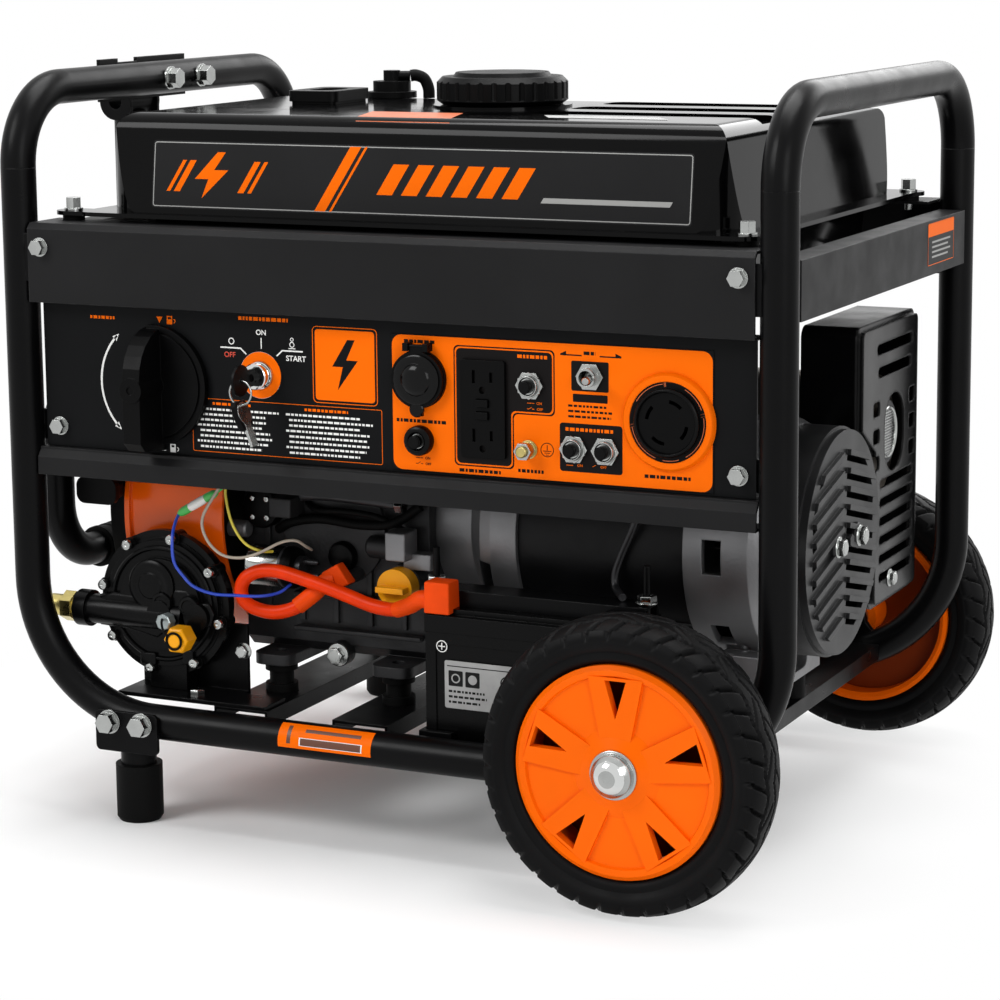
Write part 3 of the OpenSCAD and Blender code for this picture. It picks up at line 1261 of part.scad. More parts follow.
module gas_regulator() {
    color("#161616") placed() {
        translate([reg_x, 0, reg_z]) {
            y_rod(reg_y0 + 15, reg_y1, 0, 0, reg_r - 6);
            y_rod(reg_y0 + 16, reg_y0 + 22, 0, 0, reg_r - 1);
            y_rod(reg_y0 + 12, reg_y0 + 18, 0, 0, reg_r - 8);
            y_rod(reg_y0 + 8, reg_y0 + 13, 0, 0, reg_r - 21);
            for (a = [0 : 45 : 315]) rotate([0, a + 12, 0]) {
                y_rod(reg_y0 + 13, reg_y0 + 25, reg_r - 5, 0, 5);
                y_rod(reg_y0 + 10, reg_y0 + 14, reg_r - 5, 0, 3);
            }
            for (x = [2, 33]) y_rod(reg_y0 + 3, reg_y0 + 16, x, -6, 10);
            // foot standing on the bracket
            span([-13, reg_y0 + 14, member_top_z + 3 + touch - reg_z], [18, reg_y1 - 2, -30]);
        }
        // inlet boss with its collar, running into the housing's arm
        x_rod(reg_x - reg_r - 15, reg_x + 20, reg_inlet_y, reg_inlet_z, 11);
        x_rod(reg_x - reg_r - 16, reg_x - reg_r - 6, reg_inlet_y, reg_inlet_z, 13.5);
        reg_nozzle() y_rod(-14, 10, 0, 0, 6.5);
    }
}
module gas_fittings() {
    color("#b59a4a") placed() {
        translate([reg_x - reg_r - 16, reg_inlet_y, reg_inlet_z]) rotate([0, -90, 0]) difference() {
            union() {
                cylinder(h = 5, r = 9);
                translate([0, 0, 4]) hex(20, 9);
                translate([0, 0, 13]) cylinder(h = 12, r = 8);
            }
            translate([0, 0, 8]) cylinder(h = 30, r = 5);
        }
        reg_nozzle() translate([0, -14, 0]) facing_front() hex(15.5, 14);
    }
}
cable_route = [[24.1, -167.5, 178], [15, -167.3, 177], [5, -162, 171], [-10, -154, 164.5], [-30, -151, 164.5],
    [-50, -150, 169.5], [-68, -150, 174.5], [-87, -150, 179], [-108, -150, 183], [-123, -152, 182.5],
    [-133, -155, 177], [-136.5, -156, 168], [-133, -156, 159.5], [-122, -155, 154.5], [-108, -153, 153.5],
    [-94, -149, 158], [-84, -143.5, 167], [-76, -139, 175.5], [-68.2, -137, 178]];
module cables() {
    color("#e8551c") placed() translate([0, 0, crank_z - 215]) sweep(spline(cable_route, 3), 5.2, 10, [0.1, 0.97, 0.15]);
}

front_frame_tube();
rear_frame_tube();
top_frame_tubes();
frame_channels();
cross_members();
support_legs();
rubber_feet();
frame_bolts();
axle();
front_tyre();
front_rim();
rear_tyre();
rear_rim();
handle_bracket();
handle_tube();
handle_grip();
tank_upper();
tank_lower();
fuel_cap();
vapour_valve();
fuel_gauge();
rubber_hoses();
control_panel();
fuel_selector_knob();
ignition_switch();
ignition_key();
key_ring();
dc_socket();
dc_socket_cover();
gfci_outlet();
gfci_test_button();
gfci_reset_button();
panel_fittings();
breaker_dc();
breaker_ac();
breaker_main_left();
breaker_main_right();
voltage_toggle();
twist_lock_outlet();
crankcase();
cylinder_block();
fan_shroud();
recoil_cover();
recoil_handle();
crankshaft();
starter_motor();
air_cleaner();
choke_lever();
muffler();
muffler_shield();
dipstick();
alternator_bells();
stator();
alternator_cover();
rubber_mounts();
battery();
equipment_brackets();
cables();
gas_regulator();
gas_fittings();
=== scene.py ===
"""Portable generator, dressed over its CAD frame. Metres, in the CAD's own frame."""
import math
import random
from math import cos, pi, radians, sin, sqrt

import bmesh
import bpy
from mathutils import Matrix, Vector


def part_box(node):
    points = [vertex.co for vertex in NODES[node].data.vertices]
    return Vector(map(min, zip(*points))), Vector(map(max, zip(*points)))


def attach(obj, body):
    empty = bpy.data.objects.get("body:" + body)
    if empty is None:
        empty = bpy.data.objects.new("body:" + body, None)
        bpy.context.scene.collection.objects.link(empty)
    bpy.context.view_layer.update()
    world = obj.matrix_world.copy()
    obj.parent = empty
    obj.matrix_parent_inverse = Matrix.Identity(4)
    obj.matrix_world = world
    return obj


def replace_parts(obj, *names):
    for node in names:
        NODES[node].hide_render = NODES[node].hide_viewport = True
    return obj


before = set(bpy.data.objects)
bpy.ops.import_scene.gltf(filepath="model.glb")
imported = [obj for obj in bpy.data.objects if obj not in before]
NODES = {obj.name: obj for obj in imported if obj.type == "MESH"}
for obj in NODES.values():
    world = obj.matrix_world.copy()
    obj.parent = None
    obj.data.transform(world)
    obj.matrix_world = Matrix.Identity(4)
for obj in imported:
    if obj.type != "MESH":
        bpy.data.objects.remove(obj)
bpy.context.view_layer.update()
random.seed(7)

# ---------------------------------------------------------------- materials
M = {}


def node(tree, kind, **values):
    """A new shader node with these inputs; an underscore stands for a space in an input's name."""
    n = tree.nodes.new("ShaderNode" + kind)
    for key, value in values.items():
        n.inputs[key.replace("_", " ")].default_value = value
    return n


def finish(name, color, rough=0.5, metal=0.0, coat=0.0, spec=0.5, grain=0.0, grain_size=600.0, mottle=0.0,
           mottle_size=12.0, rough_var=0.0, edge=0.0, wear=0.0):
    """M[name]: fine grain, slow colour drift, uneven gloss, rounded edges that wear a little lighter.

    A colour given as one number is a plain grey.
    """
    if isinstance(color, float):
        color = (color, color, color)
    M[name] = material = bpy.data.materials.new(name)
    material.use_nodes = True
    tree = material.node_tree
    link = tree.links.new
    shader = tree.nodes["Principled BSDF"]
    given = {"Base Color": (*color, 1), "Roughness": rough, "Metallic": metal, "Coat Weight": coat,
             "Coat Roughness": 0.08, "Specular IOR Level": spec}
    for key, value in given.items():
        shader.inputs[key].default_value = value
    pos = node(tree, "TexCoord").outputs["Object"]

    def noise(scale, detail):
        t = node(tree, "TexNoise", Scale=scale, Detail=detail)
        link(pos, t.inputs["Vector"])
        return t.outputs["Fac"]

    def ramp(fac, low, high, x0=0.3, x1=0.7):
        r = node(tree, "MapRange", From_Min=x0, From_Max=x1, To_Min=low, To_Max=high)
        link(fac, r.inputs["Value"])
        return r.outputs["Result"]

    def blend(fac, high):
        mix = node(tree, "Mix")
        mix.data_type = "RGBA"
        mix.inputs[7].default_value = (*[min(1, c) for c in high], 1)
        link(fac, mix.inputs[0])
        return mix

    def bevel(radius):
        bev = node(tree, "Bevel", Radius=radius)
        bev.samples = 4
        return bev.outputs["Normal"]

    if mottle:
        drift = blend(ramp(noise(mottle_size, 4.0), 0, 1), [c * (1 + mottle) for c in color])
        drift.inputs[6].default_value = (*[c * (1 - mottle) for c in color], 1)
        col = drift.outputs[2]
        if wear:
            dot = node(tree, "VectorMath")
            dot.operation = "DOT_PRODUCT"
            link(bevel(0.0012), dot.inputs[0])
            link(node(tree, "NewGeometry").outputs["Normal"], dot.inputs[1])
            mask = node(tree, "Math")
            mask.operation = "MULTIPLY"
            link(ramp(dot.outputs["Value"], wear, 0, 0.72, 0.97), mask.inputs[0])
            link(ramp(noise(90.0, 4.0), 0, 1, 0.45, 0.6), mask.inputs[1])
            worn = blend(mask.outputs[0], [c + 0.12 for c in color])
            link(col, worn.inputs[6])
            col = worn.outputs[2]
        link(col, shader.inputs["Base Color"])
    if rough_var:
        low, high = max(0.02, rough - rough_var), min(1, rough + rough_var)
        link(ramp(noise(35.0, 5.0), low, high), shader.inputs["Roughness"])
    normal = bevel(edge) if edge else None
    if grain:
        bump = node(tree, "Bump", Strength=grain, Distance=0.0004)
        link(noise(grain_size, 3.0), bump.inputs["Height"])
        if normal:
            link(normal, bump.inputs["Normal"])
        normal = bump.outputs["Normal"]
    if normal:
        link(normal, shader.inputs["Normal"])
    return material


finish("frame", (0.0018, 0.0018, 0.002), 0.32, spec=0.085, grain=0.10, grain_size=900, rough_var=0.06,
    mottle=0.15, edge=0.0009, wear=0.25)
finish("beam", (0.009, 0.009, 0.0094), 0.45, spec=0.11, grain=0.16, grain_size=1400, rough_var=0.06,
    mottle=0.12, edge=0.0011, wear=0.25)
finish("zinc", (0.40, 0.41, 0.40), 0.22, metal=1.0, rough_var=0.08, mottle=0.1, mottle_size=60, edge=0.0004,
    grain=0.04)
finish("rubber", 0.0022, 0.60, spec=0.07, grain=0.25, grain_size=500, edge=0.0008, mottle=0.2)
finish("tyre", (0.0022, 0.0022, 0.0024), 0.52, spec=0.085, grain=0.22, grain_size=420, rough_var=0.1,
    mottle=0.25, mottle_size=30)
finish("wheel", (0.88, 0.125, 0.0006), 0.36, spec=0.06, grain=0.05, grain_size=700, rough_var=0.05,
    mottle=0.06)
finish("tank", (0.0012, 0.0012, 0.0013), 0.10, spec=0.09, coat=0.02, rough_var=0.03, mottle=0.2, grain=0.015,
    grain_size=60)
# a darker copy of the wheel orange: painted shade for the rim's back, seen through the spoke windows
finish("wheel_painted_shade", (0.16, 0.02, 0.001), 0.5, spec=0.08, mottle=0.1)
finish("panel", (0.0040, 0.0042, 0.0046), 0.46, spec=0.07, grain=0.08, grain_size=1200, rough_var=0.05,
    mottle=0.12, edge=0.0006)
finish("plastic", (0.0014, 0.0014, 0.0015), 0.38, spec=0.075, grain=0.22, grain_size=1500, rough_var=0.07,
    mottle=0.15, edge=0.0007)
finish("plastic_satin", (0.0014, 0.0014, 0.0015), 0.27, spec=0.10, grain=0.08, grain_size=900,
    rough_var=0.05, edge=0.0006)
finish("cast", (0.02, 0.02, 0.021), 0.44, metal=0.4, spec=0.3, grain=0.5, grain_size=380, rough_var=0.1,
    mottle=0.18, mottle_size=40, edge=0.0012)
finish("shroud", (0.84, 0.105, 0.001), 0.22, spec=0.3, coat=0.12, rough_var=0.05, mottle=0.07, edge=0.001)
finish("steel", (0.028, 0.028, 0.03), 0.38, metal=0.6, grain=0.15, rough_var=0.1, mottle=0.2, edge=0.0006)
finish("exhaust", (0.16, 0.14, 0.12), 0.45, metal=0.9, grain=0.2, rough_var=0.12, mottle=0.35,
    mottle_size=25, edge=0.0008)
finish("amber", (0.84, 0.35, 0.004), 0.3, spec=0.2, grain=0.05, mottle=0.08, edge=0.0006)
finish("cable", (0.72, 0.036, 0.001), 0.36, spec=0.12, grain=0.05, mottle=0.1, mottle_size=60)
finish("brass", (0.52, 0.43, 0.16), 0.28, metal=1.0, rough_var=0.1, mottle=0.2, mottle_size=80, edge=0.0004)
finish("orange_print", (0.90, 0.142, 0.0006), 0.42, spec=0.05, grain=0.04, mottle=0.04, edge=0.0003)
finish("white_print", (0.78, 0.78, 0.76), 0.4, mottle=0.04)
finish("white_plastic", (0.75, 0.74, 0.71), 0.38, grain=0.05, mottle=0.05, edge=0.0004)
finish("label", (0.34, 0.34, 0.335), 0.45, mottle=0.12, mottle_size=60)
finish("blue", (0.01, 0.05, 0.45), 0.35, mottle=0.1)
finish("green", (0.06, 0.42, 0.08), 0.35, mottle=0.1)
finish("copper", (0.0045, 0.0045, 0.005), 0.42, metal=0.0, spec=0.16, grain=0.3, grain_size=250,
    rough_var=0.08, mottle=0.2, edge=0.0008)
finish("boot", (0.76, 0.060, 0.002), 0.5, spec=0.10, grain=0.12, grain_size=300, mottle=0.12, mottle_size=40,
    edge=0.0008)
finish("gloss_black", (0.0014, 0.0014, 0.0015), 0.14, spec=0.13, coat=0.04, rough_var=0.03, mottle=0.1,
    edge=0.0005)
finish("red_print", (0.55, 0.045, 0.02), 0.4, mottle=0.05)
finish("dark_print", (0.0045, 0.0035, 0.0035), 0.42, spec=0.09, mottle=0.1, grain=0.04)
finish("black_print", 0.006, 0.45, spec=0.12, mottle=0.1)
finish("grey_print", (0.30, 0.30, 0.29), 0.45, mottle=0.08)
finish("decal_grey", (0.0135, 0.0135, 0.014), 0.42, spec=0.06, grain=0.05, grain_size=500, rough_var=0.04,
    mottle=0.1)
finish("brown_print", (0.10, 0.03, 0.012), 0.45, mottle=0.1)
finish("sticker_orange", (0.50, 0.10, 0.02), 0.35, mottle=0.12, mottle_size=40)
finish("grey_wire", (0.36, 0.31, 0.25), 0.4, mottle=0.1, mottle_size=60)
finish("yellow_wire", (0.55, 0.45, 0.04), 0.4, mottle=0.15, mottle_size=60)
finish("grey_metal", (0.32, 0.36, 0.36), 0.35, metal=0.6, rough_var=0.08, mottle=0.12, edge=0.0005)
finish("cover", (0.011, 0.011, 0.0115), 0.36, spec=0.2, grain=0.12, grain_size=1100, rough_var=0.05,
    mottle=0.1, edge=0.0007)
finish("shield", (0.0018, 0.0018, 0.002), 0.22, spec=0.17, coat=0.03, rough_var=0.05, mottle=0.15,
    grain=0.04, edge=0.003)
# painted shade: a flat near-black that lines recesses, the breaker wells and the exhaust outlet
finish("painted_shade", 0.002, 0.7, spec=0.04, mottle=0.2)
finish("chrome", (0.62, 0.63, 0.62), 0.07, metal=1.0, rough_var=0.03, mottle=0.04)
finish("bell", (0.2, 0.2, 0.205), 0.42, metal=0.7, grain=0.35, grain_size=420, rough_var=0.1, mottle=0.15,
    edge=0.0015)

LOOK = {
    "frame": "front_frame_tube rear_frame_tube top_frame_tubes cross_members support_legs handle_bracket "
        "handle_tube equipment_brackets",
    "beam": "frame_channels",
    "shield": "muffler_shield",
    "cover": "alternator_cover",
    "zinc": "frame_bolts axle key_ring panel_fittings choke_lever voltage_toggle",
    "chrome": "ignition_switch",
    "rubber": "rubber_feet handle_grip rubber_hoses rubber_mounts",
    "tyre": "front_tyre rear_tyre",
    "wheel": "front_rim rear_rim",
    "tank": "tank_upper tank_lower",
    "panel": "control_panel",
    "plastic": "fuel_cap vapour_valve fuel_gauge fuel_selector_knob ignition_key dc_socket "
        "dc_socket_cover gfci_outlet gfci_test_button gfci_reset_button twist_lock_outlet recoil_cover "
        "recoil_handle air_cleaner",
    "plastic_satin": "battery gas_regulator breaker_dc breaker_ac breaker_main_left breaker_main_right",
    "cast": "crankcase cylinder_block",
    "bell": "alternator_bells",
    "copper": "stator",
    "shroud": "fan_shroud",
    "steel": "crankshaft starter_motor",
    "exhaust": "muffler",
    "amber": "dipstick",
    "cable": "cables",
    "brass": "gas_fittings",
}
for key, names in LOOK.items():
    for name in names.split():
        o = NODES[name]
        o.data.materials.clear()
        o.data.materials.append(M[key])

# ---------------------------------------------------------------- tools for making pieces
MM = 0.001
panel_lo, panel_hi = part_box("control_panel")
MID_X = (panel_lo[0] + panel_hi[0]) / 2      # the middle of the frame; lengths below are in mm from it
# Each frame is (u, v, n): a drawing's right, its up, and the way it faces.
X, Y, Z = Vector((1, 0, 0)), Vector((0, 1, 0)), Vector((0, 0, 1))
FRONT, TOP, RIGHT, LEFT, BACK = (X, Z, -Y), (X, Y, Z), (Y, Z, X), (-Y, Z, -X), (-X, Z, Y)


def at(x, y, z):
    """A place in millimetres from the frame's middle, in metres."""
    return Vector((MID_X + x * MM, y * MM, z * MM))


def basis(facing, place):
    """The matrix that sets a drawing in millimetres down at a place."""
    u, v, n = (a * MM for a in facing)
    o = at(*place)
    return Matrix(((u.x, v.x, n.x, o.x), (u.y, v.y, n.y, o.y), (u.z, v.z, n.z, o.z), (0, 0, 0, 1)))


def linked(o):
    bpy.context.scene.collection.objects.link(o)
    return o


def mesh_of(name, bm, normals=True):
    """The finished mesh of an edit mesh."""
    if normals:
        bmesh.ops.recalc_face_normals(bm, faces=bm.faces)
    mesh = bpy.data.meshes.new(name)
    bm.to_mesh(mesh)
    bm.free()
    return mesh


def piece(name, mesh, material, body="chassis", smooth=40):
    """Makes a mesh into a piece of its material, riding on a body."""
    mesh.name = name
    mesh.materials.clear()
    mesh.materials.append(M[material])
    if smooth:
        mesh.shade_smooth()
        mesh.set_sharp_from_angle(angle=radians(smooth))
    o = linked(bpy.data.objects.new(name, mesh))
    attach(o, body)
    return o


def baked(curve, matrix=None):
    """The mesh of a curve or text."""
    o = linked(bpy.data.objects.new("draft", curve))
    mesh = bpy.data.meshes.new_from_object(o.evaluated_get(bpy.context.evaluated_depsgraph_get()))
    bpy.data.objects.remove(o)
    bpy.data.curves.remove(curve)
    if matrix:
        mesh.transform(matrix)
    return mesh


def flat(loops, thick, soft=0.0):
    """A plate in the drawing's plane: its outer loops filled, the loops inside them open."""
    curve = bpy.data.curves.new("draft", "CURVE")
    curve.dimensions = "2D"
    curve.fill_mode = "BOTH"
    curve.extrude = thick / 2 - soft
    curve.bevel_depth = soft
    curve.bevel_resolution = 2
    curve.offset = -soft
    for loop in loops:
        s = curve.splines.new("POLY")
        s.points.add(len(loop) - 1)
        for p, (x, y) in zip(s.points, loop):
            p.co = (x, y, 0, 1)
        s.use_cyclic_u = True
    return curve


def plate(name, loops, place, thick, material, body="chassis", soft=0.0, facing=FRONT):
    """A plate that stands from its place outward by its thickness."""
    mesh = baked(flat(loops, thick, soft), basis(facing, place) @ Matrix.Translation((0, 0, thick / 2)))
    return piece(name, mesh, material, body, 30)


def letters(name, text, place, size, material):
    """Plain printed lettering that faces front, centred on its place."""
    curve = bpy.data.curves.new("draft", "FONT")
    curve.body, curve.size, curve.extrude, curve.offset = text, size, 0.06, size * 0.018
    curve.align_x, curve.align_y = "CENTER", "CENTER"
    return piece(name, baked(curve, basis(FRONT, place)), material, "chassis", 0)


def turned(name, profile, place, material, body="chassis", steps=48, smooth=35, facing=FRONT):
    """A body of revolution: (radius, height) pairs round the way that the frame faces."""
    bm = bmesh.new()
    rings = []
    for r, h in profile:
        if r < 1e-6:
            rings.append([bm.verts.new((0, 0, h))])
        else:
            rings.append([bm.verts.new((r * cos(2 * pi * k / steps),
                r * sin(2 * pi * k / steps), h)) for k in range(steps)])
    for a, b in zip(rings, rings[1:]):
        for k in range(steps):
            j = (k + 1) % steps
            if len(a) == 1 and len(b) > 1:
                bm.faces.new((a[0], b[j], b[k]))
            elif len(b) == 1 and len(a) > 1:
                bm.faces.new((a[k], a[j], b[0]))
            elif len(a) > 1:
                bm.faces.new((a[k], a[j], b[j], b[k]))
    mesh = mesh_of(name, bm)
    mesh.transform(basis(facing, place))
    return piece(name, mesh, material, body, smooth)


def smooth_line(points, step=4):
    """Points on a Catmull-Rom curve through the given ones, in metres."""
    pts = [at(*p) for p in points]
    pts = [pts[0] * 2 - pts[1]] + pts + [pts[-1] * 2 - pts[-2]]
    out = []
    for a, b, c, d in zip(pts, pts[1:], pts[2:], pts[3:]):
        for k in range(step):
            t = k / step
            out.append(0.5 * (2 * b + (c - a) * t + (2 * a - 5 * b + 4 * c - d) * t * t
                              + (3 * b - 3 * c + d - a) * t ** 3))
    return out + [pts[-2]]


def tube_curve(points, radius, round_steps=6):
    """A round rod along the points, which are in metres."""
    curve = bpy.data.curves.new("draft", "CURVE")
    curve.dimensions = "3D"
    curve.bevel_depth = radius * MM
    curve.bevel_resolution = round_steps
    curve.use_fill_caps = True
    s = curve.splines.new("POLY")
    s.points.add(len(points) - 1)
    for p, co in zip(s.points, points):
        p.co = (*co, 1)
    return curve


def rod(name, points, radius, material):
    """A wire or rod through points in millimetres."""
    return piece(name, baked(tube_curve(smooth_line(points, 5), radius)), material, "chassis", 60)


def block(name, size, place, material, soft=0.6, taper=1.0, facing=FRONT):
    """A moulded block, size (u, v, n), its base centred on the place, its edges rounded."""
    bm = bmesh.new()
    bmesh.ops.create_cube(bm, size=1)
    for v in bm.verts:
        k = taper if v.co.z > 0 else 1
        v.co = Vector((v.co.x * size[0] * k, v.co.y * size[1] * k, (v.co.z + 0.5) * size[2]))
    bmesh.ops.bevel(bm, geom=bm.edges[:], offset=soft, segments=3, profile=0.6, affect="EDGES")
    mesh = mesh_of(name, bm, normals=False)
    mesh.transform(basis(facing, place))
    return piece(name, mesh, material, "chassis", 35)


def arc(cx, cy, r, a0, a1, n=16):
    """Points on an arc, angles in degrees."""
    return [(cx + r * cos(radians(a0 + (a1 - a0) * k / n)),
             cy + r * sin(radians(a0 + (a1 - a0) * k / n))) for k in range(n + 1)]


def ring(cx, cy, r, n=64):
    return arc(cx, cy, r, 0, 360 - 360 / n, n - 1)


def rings(cx, cy, outer, inner, n=64):
    return [ring(cx, cy, outer, n), ring(cx, cy, inner, n)]


def rect(x0, y0, x1, y1):
    return [(x0, y0), (x1, y0), (x1, y1), (x0, y1)]


def band(cx, cy, r0, r1, a0, a1, n=24):
    """A strip between two radii."""
    return arc(cx, cy, r1, a0, a1, n) + arc(cx, cy, r0, a1, a0, n)


def box2(x0, y0, x1, y1, r=1.0):
    """A rectangle with round corners."""
    return (arc(x1 - r, y0 + r, r, -90, 0, 6) + arc(x1 - r, y1 - r, r, 0, 90, 6)
            + arc(x0 + r, y1 - r, r, 90, 180, 6) + arc(x0 + r, y0 + r, r, 180, 270, 6))


def frame2(x0, y0, x1, y1, line, r=1.0):
    """The two loops of a thin printed frame."""
    return [box2(x0, y0, x1, y1, r), box2(x0 + line, y0 + line, x1 - line, y1 - line, max(0.2, r - line))]


def hexagon(cx, cy, across, turn=0):
    r = across / sqrt(3)
    return [(cx + r * cos(radians(60 * k + turn)), cy + r * sin(radians(60 * k + turn)))
            for k in range(6)]


def print_lines(name, x0, x1, z_top, rows, pitch, height, y, material, indent=0.0):
    """Rows of short bars, where small print would be."""
    loops = []
    for i in range(rows):
        x = x0 + (indent if i % 3 else 0)
        end = x1 - random.uniform(0, 0.22) * (x1 - x0)
        while x < end:
            w = random.uniform(1.4, 4.2)
            z = z_top - i * pitch
            loops.append([(x, z - height), (min(x + w, end), z - height), (min(x + w, end), z), (x, z)])
            x += w + 0.9
    return plate(name, loops, (0, y, 0), 0.06, material)

# ---------------------------------------------------------------- control panel
panel_y = panel_lo[1] / MM + 0.8              # the black face; the orange field stands 0.8 mm proud of it
field_y = panel_lo[1] / MM
panel_z = panel_lo[2] / MM
LIFT = 0.07                                   # how far a print stands off what it is printed on
dc_x, dc_z = 31, panel_z + 66
field = [box2(9.6, panel_z + 2.4, 243.9, panel_z + 95.6, 7), ring(dc_x, dc_z, 15),
    ring(213.5, panel_z + 47.5, 21), box2(64.5, panel_z + 16.5, 93.5, panel_z + 79.5, 1)]
field += [ring(x, panel_z + z, 6.6, 32) for x, z in ((30.5, 23.5), (113.5, 66), (145.5, 25), (168.5, 25),
    (157.5, 74.5))]
plate("panel_field", field, (0, field_y, 0), 0.1, "orange_print")
print_y = field_y - 0.1


def on_black(name, loops, material, z=0.0):
    return plate(name, loops, (0, panel_y - z, 0), LIFT, material)


def on_field(name, loops):
    return plate(name, loops, (0, print_y, 0), LIFT, "dark_print")


# fuel selector: the scale round it, its arrowheads and two pairs of signs
knob_x, knob_z = -180, panel_z + 50
scale = [band(knob_x, knob_z, 45.2, 46.8, 134, 226, 40)]
for a, s in ((131, 1), (229, -1)):
    tip = arc(knob_x, knob_z, 46, a, a, 1)[0]
    base = arc(knob_x, knob_z, 46, a + s * 7, a + s * 7, 1)[0]
    dx, dz = base[0] - tip[0], base[1] - tip[1]
    scale.append([tip, (base[0] - dz * 0.42, base[1] + dx * 0.42), (base[0] + dz * 0.42,
        base[1] - dx * 0.42)])
on_black("selector_scale", scale, "white_print")


def signs(name, x, z, material, flip):
    s = -1 if flip else 1
    on_black(name, [[(x - 2.6, z + s * 2.2), (x + 2.6, z + s * 2.2), (x, z - s * 2.6)],
                    rect(x + 6, z - 3, x + 10.5, z + 3),
                    rect(x + 7, z + 0.6, x + 9.5, z + 2.2),
                    band(x + 11.6, z - 0.6, 1.0, 1.6, -90, 90, 8)], material)


signs("signs_liquid", knob_x + 4, knob_z + 46.5, "orange_print", False)
signs("signs_gas", knob_x + 4, knob_z - 45.5, "white_print", True)
print_lines("selector_print", -234, -212, panel_z + 97, 1, 4, 2.2, panel_y, "orange_print")

# ignition switch: orange disc, position marks and their words
ign_x, ign_z = -93.5, panel_z + 61.5
on_black("ignition_disc", rings(ign_x, ign_z, 16.4, 10.2), "orange_print", 1.95)
marks = [rect(ign_x - 0.4, ign_z + 18.5, ign_x + 0.4, ign_z + 26)]
for s in (-1, 1):
    marks.append([(ign_x + s * 12.5, ign_z + 13.5), (ign_x + s * 17, ign_z + 17.4),
        (ign_x + s * 33, ign_z + 17.4), (ign_x + s * 33, ign_z + 18.4), (ign_x + s * 16.6, ign_z + 18.4),
        (ign_x + s * 11.8, ign_z + 14.2)])
marks += [*rings(ign_x - 24, ign_z + 22.6, 2.4, 1.7, 24),
          *rings(ign_x + 24.5, ign_z + 22.4, 2.0, 1.4, 24),
          *rings(ign_x + 24.5, ign_z + 26.0, 1.4, 0.9, 24),
          rect(ign_x + 21.8, ign_z + 19.4, ign_x + 27.2, ign_z + 20)]
on_black("ignition_marks", marks, "white_print")
letters("word_on", "ON", (ign_x, panel_y, ign_z + 29.6), 5.2, "white_print")
letters("word_off", "OFF", (ign_x - 25.5, panel_y, ign_z + 12.8), 5.2, "red_print")
letters("word_start", "START", (ign_x + 27.5, panel_y, ign_z + 12.6), 5.4, "white_print")
print_lines("ignition_print", ign_x - 18, ign_x + 22, ign_z + 40.5, 1, 4, 2.6, panel_y, "orange_print")
turned("ignition_collar", [(10.3, 1.9), (10.3, 3.2), (9.6, 4.2), (8.8, 4.4)], (ign_x, panel_y, ign_z),
    "chrome")
turned("ignition_lip", [(8.7, 9.4), (9.2, 10.0), (9.2, 11.2), (8.6, 11.8), (7.4, 11.9), (5.6, 11.2),
    (4.2, 11.15)], (ign_x, panel_y, ign_z), "chrome")

# the square where a badge would be: an orange tile with a plain lightning bolt
bolt = [(-25.4, 361.5), (-37.5, 342.4), (-29.2, 342.4), (-33.4, 326), (-17.4, 347.2), (-26.4, 347.2),
    (-19.6, 361.5)]
on_black("panel_tile", [box2(-50.8, panel_z + 46.5, -4.4, panel_z + 96, 2.5), bolt], "orange_print")
on_black("panel_tile_edge", frame2(-52.9, panel_z + 44.4, -2.3, panel_z + 98.1, 0.6, 3.4), "orange_print")

# the lined box with rows of small print, held as plain bars
on_black("notice_edge", frame2(-150.9, panel_z + 3.9, 0.8, panel_z + 42.3, 0.45, 1.6), "orange_print")
print_lines("notice_left", -147, -80, panel_z + 35.5, 8, 3.85, 1.5, panel_y, "white_print", 2.5)
print_lines("notice_right", -75, -3, panel_z + 35.5, 8, 3.85, 1.5, panel_y, "white_print", 2.5)
print_lines("notice_heads", -134, -98, panel_z + 39.8, 1, 4, 1.9, panel_y, "orange_print")
print_lines("notice_head", -60, -18, panel_z + 39.8, 1, 4, 1.9, panel_y, "orange_print")

# dark grounds printed on the orange field


def inset(k):
    """The outlet's L-shaped ground, drawn in by k."""
    r = 3.4
    x0, x1, x2 = 56.4 + k, 101 - k, 131.3 - k
    z0, z1, z2 = panel_z + 8 + k, panel_z + 46 + k, panel_z + 90.6 - k
    return (arc(x0 + r, z0 + r, r, 180, 270, 6) + arc(x1 - r, z0 + r, r, -90, 0, 6)
        + arc(x1 + r, z1 - r, r, 180, 90, 6) + arc(x2 - r, z1 + r, r, -90, 0, 6)
        + arc(x2 - r, z2 - r, r, 0, 90, 6) + arc(x0 + r, z2 - r, r, 90, 180, 6))


on_field("outlet_ground_edge", [inset(0), inset(0.9)])
on_field("outlet_ground", [inset(1.9)])
toggle_x, toggle_z = 157.5, panel_z + 74.5
on_field("toggle_ground", [box2(143.4, toggle_z - 10.2, 170.4, toggle_z + 10, 1.2)])
on_field("toggle_strip", [box2(144.5, toggle_z - 17.6, 169.6, toggle_z - 12.2, 0.6)])
on_field("main_ground", [box2(134.8, panel_z + 9.6, 180.2, panel_z + 42.4, 2.2)])
twist_x, twist_z = 213.5, panel_z + 47.5
pointers = []
for s in (-1, 1):
    x = toggle_x + s * 22
    pointers += [[(toggle_x + s * 6.5, toggle_z + 13.2), (x, toggle_z + 13.2), (x, toggle_z + 14.4),
        (x - s * 4.2, toggle_z + 16.2), (x - s * 4.2, toggle_z + 14.1), (toggle_x + s * 6.5,
        toggle_z + 14.1)]]
on_field("toggle_pointers", pointers)


